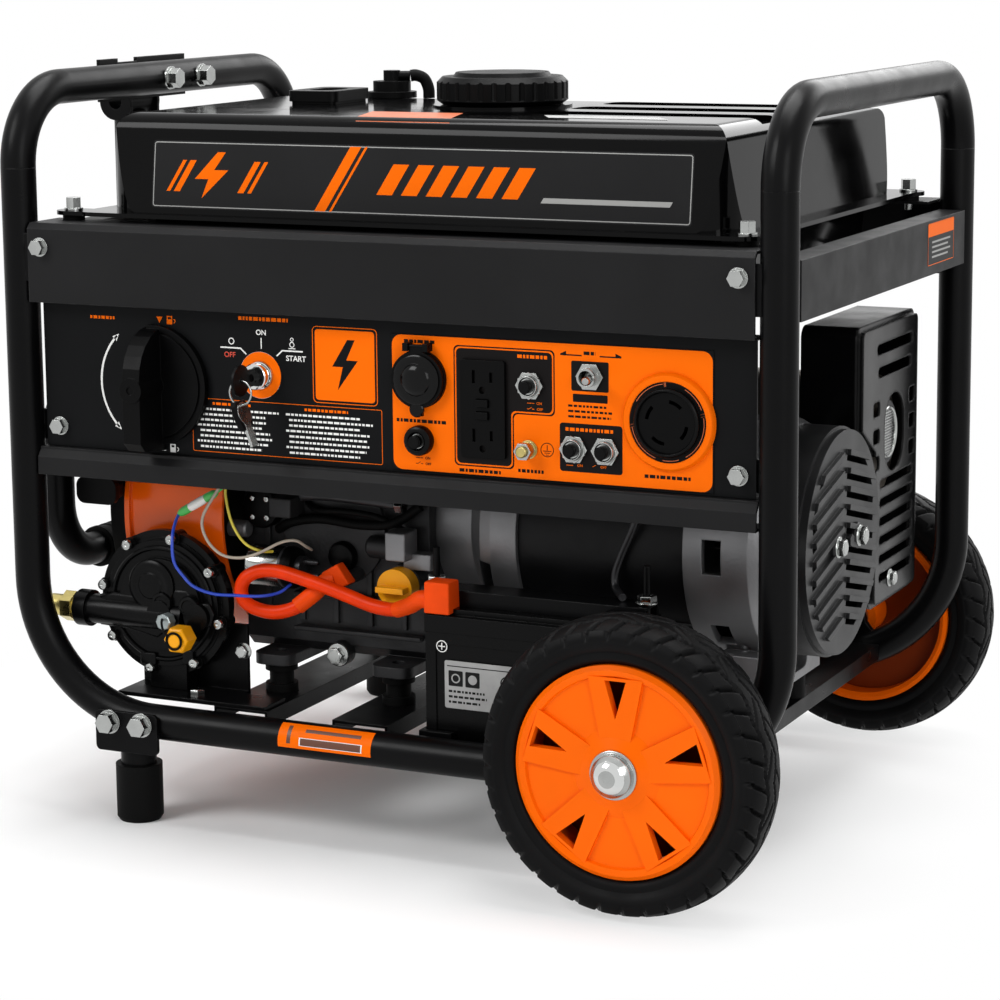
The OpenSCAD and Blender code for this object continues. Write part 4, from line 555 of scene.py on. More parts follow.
def on_off(name, x, z, material):
    """Two tiny contact signs, closed and open, each beside its word."""
    drop = 3.99
    loops = []
    for k, up in ((0, 0), (1, 1.3)):
        y = z - k * drop
        loops += [rect(x - 4.6, y, x - 3, y + 0.45),
                  [(x - 3, y), (x - 1.2, y + up), (x - 1.2, y + up + 0.45), (x - 3, y + 0.45)],
                  rect(x - 0.8, y, x + 0.8, y + 0.45)]
    plate(name, loops, (0, print_y - LIFT, 0), LIFT, material)
    letters(name + "_on", "ON", (x + 4.4, print_y - LIFT, z + 0.2), 2.5, material)
    letters(name + "_off", "OFF", (x + 4.8, print_y - LIFT, z - drop + 0.2), 2.5, material)


dc_trip = (30.5, panel_z + 23.5)
ac_trip = (113.5, panel_z + 66)
mains = ((145.5, panel_z + 25), (168.5, panel_z + 25))
on_off("dc_trip_words", dc_trip[0] + 1, dc_trip[1] - 12.5, "dark_print")
on_off("ac_trip_words", ac_trip[0] + 2, ac_trip[1] - 12.2, "orange_print")
plate("main_words", [rect(139.5, 285.6, 144.5, 286), [(158.5, 285.6), (161, 286.8), (161, 287.2),
    (158.5, 286)]], (0, print_y - LIFT, 0), LIFT, "orange_print")
letters("main_on", "ON", (149.5, print_y - LIFT, panel_z + 14), 2.5, "orange_print")
letters("main_off", "OFF", (166.5, print_y - LIFT, panel_z + 14), 2.5, "orange_print")
for name, x0, x1, z, material in (("dc_title", 19, 44, panel_z + 92.6, "dark_print"),
        ("dc_trip_title", 12.5, 51, panel_z + 37.8, "dark_print"), ("ac_trip_title", 104, 129,
        panel_z + 86.5, "orange_print"), ("outlet_title", 60, 96, panel_z + 6.2, "dark_print"),
        ("ground_title", 104, 124, panel_z + 8.8, "dark_print"), ("main_title", 139, 176, panel_z + 39.4,
        "orange_print"), ("twist_title", 196, 230, panel_z + 11.5, "dark_print"),
        ("toggle_title", 152.5, 162.5, panel_z + 91, "dark_print")):
    print_lines(name, x0, x1, z, 1, 3, 2.3, print_y - LIFT, material)
print_lines("toggle_note", 141, 174, toggle_z - 19.6, 3, 3.6, 1.5, print_y, "dark_print")

# breakers: three with a hexagon nut, a well lined in near-black painted shade and a ring, and one with a
# plain black ring
for i, (x, z) in enumerate((ac_trip, *mains)):
    plate(f"breaker_nut_{i}", [hexagon(x, z, 16.4, 30 + 9 * i), ring(x, z, 7.1, 32)], (0, field_y, 0), 3.6,
        "zinc", soft=0.5)
    # the well's near-black lining is painted shade in the recess
    turned(f"breaker_well_{i}", [(7.4, 3.2), (4.75, 3.3), (4.7, 0.5)], (x, field_y, z), "painted_shade", steps=32)
    turned(f"breaker_ring_{i}", [(7.2, 3.0), (7.2, 5.4), (6.9, 6.2), (6.3, 6.3), (5.6, 5.6), (5.3, 4.6),
        (5.2, 3.2)], (x, field_y, z), "zinc")
turned("dc_trip_ring", [(10.4, 0), (10.4, 4.6), (9.8, 6.0), (8.2, 6.9), (6.6, 6.9), (5.4, 6.0), (4.75, 4.6)],
    (dc_trip[0], field_y, dc_trip[1]), "plastic_satin")

# ground stud: nuts and a domed end, and the earth sign beside it
stud_x, stud_z = 112, panel_z + 22.5
turned("ground_stack", [(6.4, 0.1), (6.4, 1.2), (4.6, 1.4), (4.6, 3.0), (5.2, 3.2), (5.2, 7.6), (4.6, 8.4),
    (3.4, 8.8), (3.4, 11.6), (3.9, 12), (3.9, 13.2), (3.2, 14.0), (0, 14.4)], (stud_x, field_y, stud_z),
    "brass")
earth = rings(125.5, panel_z + 23, 4.9, 4.35, 40)
earth.append(rect(125.22, panel_z + 22.6, 125.78, panel_z + 26.2))
for k, w in enumerate((3.0, 2.0, 1.0)):
    z = panel_z + 22.4 - 1.3 * k
    earth.append(rect(125.5 - w, z - 0.5, 125.5 + w, z))
on_field("earth_sign", earth)

# twist-lock outlet: a bezel, thin pale arcs and a rim
turned("twist_bezel", [(27.0, 3.0), (27.3, 3.5), (31.0, 3.5), (32.4, 2.2), (33.0, 0)],
    (twist_x, field_y, twist_z), "orange_print", steps=96)
arcs = [band(twist_x, twist_z, 25.3, 25.8, a0, a1, 24) for a0, a1 in ((-60, 10), (22, 62), (98, 150),
    (190, 250), (262, 288))]
for a in (96, 94, 12, 16, 186, 190):
    (x0, z0), (x1, z1) = arc(twist_x, twist_z, 23.6, a, a, 1)[0], arc(twist_x, twist_z, 26.6, a, a, 1)[0]
    arcs.append([(x0, z0), (x0 + 0.45, z0 + 0.25), (x1 + 0.45, z1 + 0.25), (x1, z1)])
plate("twist_arcs", arcs, (0, field_y - 3.0, 0), LIFT, "sticker_orange")
turned("twist_rim", [(23.0, 3.0), (23.0, 6.2), (22.2, 7.0), (21.0, 7.1), (20.4, 6.2), (20.0, 5.2)],
    (twist_x, field_y, twist_z), "plastic_satin", steps=72)

# DC socket cover: dome and pull tab
turned("socket_dome", [(17.4, 0), (17.2, 0.9), (16.2, 1.5), (11.2, 1.7), (10.6, 2.4), (9.4, 3.4), (6.5, 4.4),
    (3, 4.9), (0, 5.0)], (dc_x, panel_lo[1] / MM - 6.6, dc_z), "gloss_black", "socket_cover", steps=64)
turned("socket_tab", [(5.4, 0), (5.4, 1.4), (4.6, 2.2), (0, 2.3)], (dc_x, field_y - 5.2, dc_z - 20.5),
    "gloss_black", "socket_cover", steps=32)

# ---------------------------------------------------------------- tank, cap and top
def on_surface(name, loops, place, material, off, facing=FRONT):
    """A thin print laid on the tank: filled, cut finely, then pressed onto the surface."""
    mesh = baked(flat(loops, 0.0), basis(facing, place))
    bm = bmesh.new()
    bm.from_mesh(mesh)
    bmesh.ops.remove_doubles(bm, verts=bm.verts, dist=1e-6)
    for _ in range(6):
        long_edges = [e for e in bm.edges if e.calc_length() > 0.012]
        if not long_edges:
            break
        bmesh.ops.subdivide_edges(bm, edges=long_edges, cuts=1, use_grid_fill=False)
        bmesh.ops.triangulate(bm, faces=[f for f in bm.faces if len(f.verts) > 4])
    bm.to_mesh(mesh)
    bm.free()
    o = piece(name, mesh, material, "chassis", 0)
    wrap = o.modifiers.new("press", "SHRINKWRAP")
    wrap.target = NODES["tank_upper"]
    wrap.wrap_method = "PROJECT"
    wrap.use_project_x, wrap.use_project_y, wrap.use_project_z = (abs(c) > 0.5 for c in facing[2])
    wrap.use_positive_direction = wrap.use_negative_direction = True
    wrap.offset = off * MM
    deps = bpy.context.evaluated_depsgraph_get()
    done = bpy.data.meshes.new_from_object(o.evaluated_get(deps))
    o.modifiers.clear()
    o.data = done
    done.shade_smooth()
    return o


tank_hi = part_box("tank_upper")[1]
decal_y = -176
on_surface("tank_decal", [box2(-192, 446, 221, 493.5, 2.5)], (0, decal_y, 0), "decal_grey", 0.2)
on_surface("tank_decal_edge", frame2(-191, 447, 220, 492.5, 0.7, 2), (0, decal_y, 0), "grey_print", 0.32)


DECAL_HIGH = 47.5
LEAN = 28                                     # how far a stripe leans over the decal's height


def slant(x0, x1, z0, z1):
    """A bar that leans as the decal's stripes do."""
    over = LEAN * (z1 - z0) / DECAL_HIGH
    return [(x0, z0), (x1, z0), (x1 + over, z1), (x0 + over, z1)]


stripes = [slant(-60, -51.5, 447.4, 492.2), slant(-48.5, -46.5, 447.4, 492.2)]
on_surface("tank_stripes", stripes, (0, decal_y, 0), "orange_print", 0.36)
motif = [[(-139, 486), (-157, 467), (-146, 467), (-151, 453.5), (-130, 473.5), (-141.5, 473.5),
    (-132.5, 486)]]
motif += [slant(x, x + w, 458, 480) for x, w in ((-180, 3), (-174, 5), (-122, 5), (-114, 3))]
motif += [slant(19 * k - 12, 19 * k, 460, 481) for k in range(6)]
on_surface("tank_motif", motif, (0, decal_y, 0), "orange_print", 0.36)
on_surface("tank_motif_line", [slant(112, 205, 458, 461.5)], (0, decal_y, 0), "grey_print", 0.36)
top_z = tank_hi[2] / MM + 4
on_surface("top_sticker_orange", [[(-30, -170), (42, -170), (20, -100), (-52, -100)]], (0, 0, top_z),
    "sticker_orange", 0.2, facing=TOP)
on_surface("top_sticker_white", [[(98, -128), (186, -128), (170, -104), (84, -104)]], (0, 0, top_z), "label",
    0.2, facing=TOP)

# the cap is CAD; a thin dark ring is printed on its top
cap_lo, cap_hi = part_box("fuel_cap")
cap_x = (cap_lo[0] + cap_hi[0]) / 2 / MM - MID_X / MM
cap_y = (cap_lo[1] + cap_hi[1]) / 2 / MM
cap_z = cap_hi[2] / MM
plate("cap_print", rings(cap_x, cap_y, 33, 31.8, 96), (0, 0, cap_z - 0.02), 0.05, "rubber", "cap",
    facing=TOP)

# ---------------------------------------------------------------- stickers on the frame
rail_z = 74


def tube_label(name, x0, x1, a0, a1, y, z, radius, material):
    """A label wrapped on a level tube, between two angles about it."""
    bm = bmesh.new()
    rows = []
    for k in range(17):
        a = radians(a0 + (a1 - a0) * k / 16)
        rows.append([bm.verts.new(at(x0 + (x1 - x0) * j / 8, y - radius * cos(a),
            z + radius * sin(a))) for j in range(9)])
    for p, q in zip(rows, rows[1:]):
        for j in range(8):
            bm.faces.new((p[j], p[j + 1], q[j + 1], q[j]))
    return piece(name, mesh_of(name, bm, normals=False), material)


tube_label("rail_label", -79, -5, -14, 72, -195, rail_z, 12.95, "orange_print")
tube_label("rail_label_bar", -62, -12, -4, 22, -195, rail_z, 13.05, "white_print")
tube_label("rail_label_ink", -61, -13, -2, 20, -195, rail_z, 13.12, "brown_print")
tube_label("rail_label_rule", -58, -14, 40, 52, -195, rail_z, 13.05, "brown_print")
tube_label("rail_label_sign", -72, -69, 0, 60, -195, rail_z, 13.05, "brown_print")

beam_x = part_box("frame_channels")[1][0] / MM - MID_X / MM + 0.05
plate("side_label", [box2(90, 395, 154, 426, 1.5)], (beam_x, 0, 0), 0.08, "black_print", facing=RIGHT)
plate("side_label_head", [box2(90.6, 416, 153.4, 425.4, 1.2)], (beam_x + 0.08, 0, 0), 0.06, "orange_print",
    facing=RIGHT)
plate("side_label_ink", [[(100, 411 - 3.6 * k), (145 - 6 * (k % 2), 411 - 3.6 * k),
    (145 - 6 * (k % 2), 412.4 - 3.6 * k), (100, 412.4 - 3.6 * k)] for k in range(4)], (beam_x + 0.08, 0, 0),
    0.06, "grey_print", facing=RIGHT)
plate("side_label_edge", frame2(90.2, 395.2, 153.8, 425.8, 0.5, 1.4), (beam_x + 0.08, 0, 0), 0.06,
    "orange_print", facing=RIGHT)

# ---------------------------------------------------------------- battery and its leads
bat_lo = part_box("battery")[0]
bat_y = bat_lo[1] / MM
bat_z = bat_lo[2] / MM
plate("battery_label", [box2(38, bat_z + 37, 110, bat_z + 71, 1.6)], (0, bat_y, 0), 0.08, "label")
print_lines("battery_print", 41, 72, bat_z + 50, 3, 3.8, 1.6, bat_y - 0.08, "black_print")
print_lines("battery_print_b", 78, 107, bat_z + 50, 3, 3.8, 1.6, bat_y - 0.08, "black_print")
plate("battery_signs", [box2(41, bat_z + 53, 52, bat_z + 64, 0.8), *rings(46.5, bat_z + 58.5, 3.4, 2.4, 32),
    box2(54, bat_z + 53, 65, bat_z + 64, 0.8), ring(59.5, bat_z + 58.5, 3.4, 32),
    *rings(86, bat_z + 58.5, 5.2, 4.2, 32)], (0, bat_y - 0.08, 0), 0.06, "black_print")
plate("battery_rule", [rect(40, bat_z + 66.8, 108, bat_z + 67.5)], (0, bat_y - 0.08, 0), 0.06, "black_print")
plus = rings(36, bat_z + 80.5, 4.3, 3.6, 40)
plus += [rect(36 - 2.6, bat_z + 80.1, 36 + 2.6, bat_z + 80.9)]
plate("battery_plus", plus, (0, bat_y, 0), 0.06, "white_print")
plate("battery_plus_up", [rect(35.6, bat_z + 78, 36.4, bat_z + 83)], (0, bat_y - 0.02, 0), 0.06,
    "white_print")
minus = [*rings(160, bat_z + 80.5, 4.3, 3.6, 40),
         rect(157.4, bat_z + 80.1, 162.6, bat_z + 80.9)]
plate("battery_minus", minus, (0, bat_y, 0), 0.06, "white_print")

# the red lead from the battery to the solenoid, and on to the starter's post
cable_route = [[24.1, -167.5, 178], [15, -167.3, 177], [5, -162, 171], [-10, -154, 164.5],
    [-30, -151, 164.5], [-50, -150, 169.5], [-68, -150, 174.5], [-87, -150, 179], [-108, -150, 183],
    [-123, -152, 182.5], [-133, -155, 177], [-136.5, -156, 168], [-133, -156, 159.5], [-122, -155, 154.5],
    [-108, -153, 153.5], [-94, -149, 158], [-84, -143.5, 167], [-76, -139, 175.5], [-68.2, -137, 178]]


def lead(name, points, radius, material):
    """A cable laid through points in millimetres."""
    line = smooth_line(points, 5)
    curve = tube_curve(line, radius)
    curve.name = name
    curve.materials.append(M[material])
    o = linked(bpy.data.objects.new(name, curve))
    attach(o, "chassis")
    return o


battery_lead = lead("battery_lead", cable_route, 5.1, "cable")
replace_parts(battery_lead, "cables")


def sleeve(name, points, radii, material):
    """A moulded sleeve along a line in millimetres, its radius given at each point."""
    steps = 28
    line = [at(*p) for p in points]
    bm = bmesh.new()
    rings = []
    side_way = None
    for i, (p, r) in enumerate(zip(line, radii)):
        t = (line[min(i + 1, len(line) - 1)] - line[max(i - 1, 0)]).normalized()
        side_way = (side_way or Vector((0.1, 0.97, 0.15))).copy()
        side_way = (side_way - t * side_way.dot(t)).normalized()
        other = t.cross(side_way)
        rings.append([bm.verts.new(p + (side_way * cos(a) + other * sin(a)) * r * MM)
                      for a in (2 * pi * k / steps for k in range(steps))])
    for a, b in zip(rings, rings[1:]):
        for k in range(steps):
            bm.faces.new((a[k], a[(k + 1) % steps], b[(k + 1) % steps], b[k]))
    bm.faces.new(rings[0])
    bm.faces.new(rings[-1])
    return piece(name, mesh_of(name, bm), material, "chassis", 50)


def along(points, n):
    """The same line through more points, back in millimetres."""
    return [((p.x - MID_X) / MM, p.y / MM, p.z / MM) for p in smooth_line(points, n)]


line = along(cable_route[:4], 6)
sleeve("lead_sleeve_a", line, [6.9, 6.9, 6.6] + [6.5 - 0.05 * k for k in range(len(line) - 3)], "boot")
block("lead_boot_a", (20, 17.5, 22.5), (32, -167.8, 169.8), "boot", soft=1.6, taper=0.96, facing=TOP)
line = along(cable_route[-4:], 6)
sleeve("lead_sleeve_b", line, [6.1 + 0.04 * k for k in range(len(line))], "boot")
block("lead_boot_b", (19, 12, 17), (-63, -137, 172), "boot", soft=1.6, taper=0.82,
    facing=(Vector((0.86, 0, 0.5)), Vector((0, 1, 0)), Vector((-0.5, 0, 0.86))))
for i, x in enumerate((18.5, 178.5)):
    plate(f"strap_nut_{i}", [hexagon(x, -148, 12, 15 * i), ring(x, -148, 3, 24)], (0, 0, 185.3), 5.4, "zinc",
        soft=0.6, facing=TOP)
    turned(f"strap_washer_{i}", [(3.2, 0), (7.4, 0), (7.8, 0.4), (7.8, 1.1), (7.4, 1.4), (3.2, 1.4)],
        (x, -148, 184.9), "zinc", facing=TOP)

# solenoid can and its cap
solenoid = (-140, -129.8, 182)
turned("solenoid_can", [(0, -0.3), (14.2, -0.3), (15.3, 0.7), (15.3, 26.2), (14.7, 27.2), (13.8, 27.4),
    (13.8, 28.6)], solenoid, "zinc", steps=64, facing=RIGHT)
turned("solenoid_cap", [(14.6, 28.4), (15.6, 29), (15.6, 34), (14.4, 36.4), (11.4, 37.4), (0, 37.5)],
    solenoid, "plastic", steps=48, facing=RIGHT)

# thin leads: a blue one round the gas regulator, a grey, a yellow, a braided and a green one with its joint
lead("lead_blue", [(-180, -168, 223), (-178.5, -175, 219), (-174, -187, 212), (-172, -191, 200),
    (-170, -191, 191), (-165, -189, 183), (-158, -186, 175), (-146, -180, 169.5), (-133, -171, 167.5),
    (-118, -160, 166), (-109, -148, 167), (-104, -140, 172)], 1.15, "blue")
lead("lead_grey", [(-139, -166, 262), (-141, -167, 252), (-148, -169, 241), (-159, -170, 222),
    (-156, -170, 207), (-145, -168, 196), (-131, -164, 194), (-118, -160, 198), (-105, -152, 205),
    (-96, -146, 206), (-92, -137, 200), (-93, -128, 196)], 1.1, "grey_wire")
lead("lead_yellow", [(-136, -165, 262), (-139, -166, 250), (-141, -167, 241), (-136, -168, 221),
    (-128, -165, 206), (-119, -158, 199), (-114, -148, 197)], 1.05, "yellow_wire")
lead("lead_braided", [(160, -147, 187), (153, -136, 187), (147, -129, 190), (146, -127, 199),
    (151, -127, 213), (159, -128, 230), (166, -128, 248)], 2.7, "steel")
joint = [(-180, -168, 223), (-171, -167.3, 228.5), (-158, -166.2, 236), (-149, -165.5, 241)]
sleeve("joint_green_a", along(joint[:2], 5), [1.6, 2.8, 3.2, 3.3, 3.3, 3.2], "green")
sleeve("joint_clear", along(joint[1:3], 5), [3.0, 3.3, 3.3, 3.3, 3.3, 3.0], "white_plastic")
sleeve("joint_green_b", along(joint[2:], 5), [3.2, 3.3, 3.3, 3.2, 2.8, 1.8], "green")
lead("lead_green", [(-149, -165.5, 241), (-144, -165.5, 245), (-139, -165.5, 251), (-135, -165, 260),
    (-132, -164, 268)], 1.2, "green")

# ---------------------------------------------------------------- hoses
hose = smooth_line([[-107, 68.1, 528.7], [-103, 70, 529], [-97.5, 72.5, 526.2], [-94.6, 73.8, 519],
    [-94.3, 74, 511.5]], 6)
hoses = piece("vent_hose", baked(tube_curve(hose, 4.5, round_steps=8)), "rubber")
fuel = smooth_line([[-147, 60, 380], [-147, 60.3, 374], [-146, 68, 364], [-143, 80, 352], [-141, 90, 345.2],
    [-141, 97.2, 344.4]], 6)
piece("fuel_hose", baked(tube_curve(fuel, 4.0, round_steps=8)), "rubber")
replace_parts(hoses, "rubber_hoses")
turned("hose_clip", [(4.6, -2.4), (5.3, -2.4), (5.5, -2), (5.5, 2), (5.3, 2.4), (4.6, 2.4)],
    (-147, 60.2, 374.5), "zinc", facing=TOP)

# ---------------------------------------------------------------- small fixings


def screw_head(name, place, r, high):
    """A pan head with a round dished recess in its top."""
    turned(name, [(r, 0), (r, high * 0.55), (r * 0.86, high * 0.86), (r * 0.55, high), (r * 0.3, high),
        (0, high * 0.45)], place, "zinc", steps=28)


def hex_head(name, place, across, high, washer, turn=0, facing=FRONT):
    """A flanged hexagon head: a washer face, the hexagon and a crowned top."""
    lift = 0.9
    turned(name + "_washer", [(0, 0), (washer, 0), (washer + 0.3, 0.4), (washer, lift), (across * 0.5, 1.5)],
        place, "zinc", steps=36, facing=facing)
    place = tuple(a + b for a, b in zip(place, facing[2] * lift))
    plate(name, [hexagon(0, 0, across, turn)], place, high, "zinc", soft=0.55, facing=facing)
    turned(name + "_crown", [(across * 0.46, high - 0.3), (across * 0.4, high + 0.35), (0, high + 0.5)],
        place, "zinc", steps=28, facing=facing)


# ---------------------------------------------------------------- gas regulator
reg_x, reg_z, reg_face = -197.5, 154.7, -168
for k in range(8):
    a = radians(12 + 45 * k)
    x, z = reg_x + 50 * cos(a), reg_z - 50 * sin(a)
    screw_head(f"regulator_screw_{k}", (x, reg_face, z), 3.9, 3.2)
turned("regulator_ridge", [(43.2, 2), (43.2, 3.3), (42.2, 4.1), (40.8, 4.1), (40, 3.3), (39.6, 2)],
    (reg_x, -164, reg_z), "plastic_satin", steps=96)
turned("regulator_vent", [(19, 0), (19, 1.2), (17.6, 2.4), (14, 2.8), (13, 2.4), (10, 2.4), (9, 3.2),
    (0, 3.6)], (reg_x - 6, -170.2, reg_z + 14), "plastic_satin", steps=56)
rod("regulator_rib_a", [(reg_x - 30, -166.5, reg_z - 3), (reg_x - 12, -168, reg_z + 1),
    (reg_x + 8, -168, reg_z + 1), (reg_x + 30, -166.5, reg_z - 4)], 2.2, "plastic_satin")
arm = [(-52, -20), (-52, 3), (-40, 6), (-8, 5), (12, 13), (24, 13), (32, 4), (42, 4), (46, -4), (43, -13),
    (34, -16), (24, -14), (10, -17), (-2, -26), (-14, -24), (-30, -21)]
plate("regulator_arm", [[(reg_x + x, reg_z + z) for x, z in arm]], (0, -163, 0), 7.6, "plastic_satin",
    soft=2.6)
r = 8.4                                       # both bosses' radius
for i, (x, z) in enumerate(((4, 2), (27, 1))):
    turned(f"regulator_boss_{i}", [(r, 0), (r, 3.0), (r * 0.9, 4.4), (r * 0.66, 5.0), (r * 0.6, 4.2),
        (0, 4.0)], (reg_x + x, -170, reg_z + z), "plastic_satin", steps=48)
for i, (x, z, w, h) in enumerate(((-12, -42, 13, 9), (22, -38, 9, 11))):
    block(f"regulator_pad_{i}", (w, h, 6), (reg_x + x, -163, reg_z + z), "plastic_satin", soft=1.2)

# the capped test port: an amber hexagon cap, its grey twin behind, held by a strap
cap_place = (-169.5, -180, 135.7)
turned("port_cap", [(0, 15.4), (8.2, 15.4), (9.6, 14.6), (10.2, 13.4), (10.2, 2.2), (9.6, 1.0), (7.6, 0.6),
    (7.2, -0.2)], (cap_place[0], cap_place[1] + 0.2, cap_place[2]), "amber", steps=6, smooth=20)
turned("port_cap_stud", [(5.2, 15.2), (5.2, 16.2), (4.4, 17.0), (0, 17.2)],
    (cap_place[0], cap_place[1] + 0.2, cap_place[2]), "amber", steps=32)
rod("port_strap", [(cap_place[0] - 5.4, -196.6, cap_place[2] + 3), (cap_place[0] - 9, -196.2,
    cap_place[2] + 7), (cap_place[0] - 14, -190, cap_place[2] + 11), (cap_place[0] - 18, -182,
    cap_place[2] + 13)], 0.9, "rubber")
turned("port_strap_eye", [(5.3, 0), (6.8, 0), (6.9, 0.9), (5.3, 0.9)], (cap_place[0], -196.2, cap_place[2]),
    "rubber", steps=32)
turned("port_plug", [(0, 8), (5.4, 8), (6.2, 7.2), (6.2, 0)], (cap_place[0] - 16, -177.6, cap_place[2] + 10),
    "grey_metal", steps=8, smooth=20)
hex_head("bracket_bolt_a", (-170, -165, 87.6), 10, 4.5, washer=6.6, facing=TOP)
hex_head("bracket_bolt_b", (-141, -146, 120), 9, 4.2, washer=6.2, turn=12)

# ---------------------------------------------------------------- engine front
turned("carb_cover", [(15.5, 0), (15.5, 9), (14.2, 11), (9, 12.2), (0, 12.6)], (-140, -109, 222), "plastic",
    steps=64)
for i, (x, z) in enumerate(((-146, 229), (-134, 215), (-146, 215), (-134, 229))):
    screw_head(f"carb_screw_{i}", (x, -120.2, z), 2.4, 2)
block("carb_body", (20, 16, 22), (-116, -112, 226), "cast", soft=1.6, taper=0.9)
turned("carb_stub", [(0, 0), (5.4, 0.6), (6.4, 2), (6.4, 16)], (-150, -118, 205), "bell", steps=40,
    facing=LEFT)
rod("engine_pipe", [(-104, -121, 234), (-86, -122, 236), (-50, -122, 235), (-24, -121, 233)], 4.2, "steel")
turned("engine_pipe_nut", [(5.4, 0), (6.2, 0.8), (6.2, 6.2), (5.4, 7), (0, 7)], (-27, -121, 233.2), "zinc",
    steps=6, smooth=20, facing=RIGHT)
rod("engine_loom", [(-128, -114, 206), (-112, -120, 214), (-88, -121, 218), (-56, -121, 216),
    (-30, -120, 219), (-10, -116, 232)], 3.6, "rubber")
rod("engine_loom_b", [(-104, -113, 228), (-92, -120, 224), (-70, -122, 225), (-44, -121, 223),
    (-24, -117, 214), (-18, -112, 205)], 2.4, "rubber")
turned("sender_plug", [(11.5, 0), (11.5, 3), (9.8, 6.4), (5.4, 8.4), (0, 8.8)], (-74, -113.6, 190),
    "plastic", steps=48)
turned("cast_boss", [(0, 0), (6.2, 0.4), (8, 2.4), (8.4, 6), (8.4, 24)], (-52, -117, 200), "cast", steps=48,
    facing=RIGHT)
block("cast_bracket", (17, 22, 20), (-21, -116, 205), "bell", soft=1.6, taper=0.94)
block("cast_bracket_foot", (22, 12, 12), (-9, -113, 193), "bell", soft=1.2)
for i, z in enumerate((160, 134)):
    block(f"case_ledge_{i}", (104, 3.4, 7), (-62, -112, z), "cast", soft=1.1)
hex_head("crankcase_bolt", (-78, -118, 117), 11, 5.4, washer=8.2, turn=8)
for i, (x, z) in enumerate(((-104, 250), (-44, 252), (-8, 254))):
    hex_head(f"case_bolt_{i}", (x, -117.5 if x > -60 else -114, z), 8, 3.6, washer=5.6, turn=17 * i)

# ---------------------------------------------------------------- wheels
axle_lo, axle_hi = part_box("axle")
wheel_x = (axle_lo[0] + axle_hi[0]) / 2 / MM - MID_X / MM
rim_lo, rim_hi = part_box("front_rim")
tyre_lo, tyre_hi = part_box("front_tyre")
wheel_z = (rim_lo[2] + rim_hi[2]) / 2 / MM
wheel_r = (tyre_hi[2] - tyre_lo[2]) / 2 / MM
rim_r = (rim_hi[0] - rim_lo[0]) / 2 / MM
tyre_w = (tyre_hi[1] - tyre_lo[1]) / 2 / MM


def wave(x):
    """A zigzag between -1 and 1, one swing for each whole x."""
    return 4 * abs(x - math.floor(x + 0.5)) - 1


def dip(d, width):
    """A groove's share of its full depth, at a distance d from its middle."""
    k = max(0.0, 1 - abs(d) / width)
    return k * k * (3 - 2 * k)


LUGS = 36


def tread_depth(turn, y, r_share):
    """How far in the pattern is cut, in mm, at a turn in whole rounds and a place y across the tread.

    r_share is 1 on the tread and 0 at the bead.
    """
    cut = 0.0
    for row, swing in ((-11.5, 2.0), (0.0, 2.8), (11.5, 2.0)):
        cut = max(cut, 3.0 * dip(y - row - swing * wave(turn * LUGS / 2 + row * 0.02), 1.35))
    for s in (-1, 1):
        if s * y > 11:
            lean = (s * y - 11) * 0.035
            cut = max(cut, 3.4 * dip((turn * LUGS + s * 0.25 - lean) % 1 - 0.5, 0.15))
        elif s * y > 1.5:
            lean = s * y * 0.05
            cut = max(cut, 2.4 * dip((turn * LUGS / 2 + s * 0.2 + lean) % 1 - 0.5, 0.06))
    return cut * r_share


def tyre(name, node, body, mid_y):
    """A semi-solid tyre: bead, smooth side wall, lugged shoulder and a zigzag tread."""
    w = tyre_w
    lines = [(rim_r + 0.4, w - 7.6, 0), (rim_r + 2.2, w - 4.2, 0), (rim_r + 5.5, w - 2.6, 0),
        (rim_r + 8.0, w - 3.6, 0), (rim_r + 8.8, w - 3.2, 0), (rim_r + 10.5, w - 1.1, 0),
        (rim_r + 14.5, w - 0.1, 0), (wheel_r - 13.6, w, 0), (wheel_r - 12.8, w - 0.3, 0),
        (wheel_r - 12.2, w - 0.1, 0.2), (wheel_r - 9.0, w - 0.6, 0.75), (wheel_r - 6.2, w - 2.2, 1)]
    crown = []
    n = 46
    edge = radians(62)                   # the arc's half angle, and its drop at the edge below
    drop = 7.4
    for k in range(n + 1):
        a = radians(62 - 124 * k / n)
        y = (w - 4.2) * sin(a) / sin(edge)
        r = wheel_r - drop * (1 - cos(a)) / (1 - cos(edge)) + 0.6 * (abs(y) / w) ** 2
        crown.append((min(r, wheel_r), y, 1))
    profile = lines + crown + [(r, -y, m) for r, y, m in reversed(lines)]
    steps = LUGS * 18
    verts, faces = [], []
    for k in range(steps):
        turn = k / steps
        ca, sa = cos(2 * pi * turn), sin(2 * pi * turn)
        for r, y, m in profile:
            cut = tread_depth(turn, y, m) if m else 0
            side_cut = 0.35 * cut if abs(y) > w - 6 else 0
            rr = r - (cut * 0.7 if abs(y) > w - 6 else cut)
            yy = y - math.copysign(side_cut * 1.4, y)
            verts.append((MID_X + (wheel_x + rr * ca) * MM, (mid_y + yy) * MM, (wheel_z + rr * sa) * MM))
    m = len(profile)
    for k in range(steps):
        j = (k + 1) % steps
        for i in range(m):
            faces.append((k * m + i, k * m + (i + 1) % m, j * m + (i + 1) % m, j * m + i))
    mesh = bpy.data.meshes.new("draft")
    mesh.from_pydata(verts, [], faces)
    mesh.update()
    bm = bmesh.new()
    bm.from_mesh(mesh)
    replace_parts(piece(name, mesh_of(name, bm), "tyre", body, 50), node)


tyre_mid = (tyre_lo[1] + tyre_hi[1]) / 2 / MM
tyre("tyre_near", "front_tyre", "front_wheel", tyre_mid)
tyre("tyre_far", "rear_tyre", "rear_wheel", -tyre_mid)

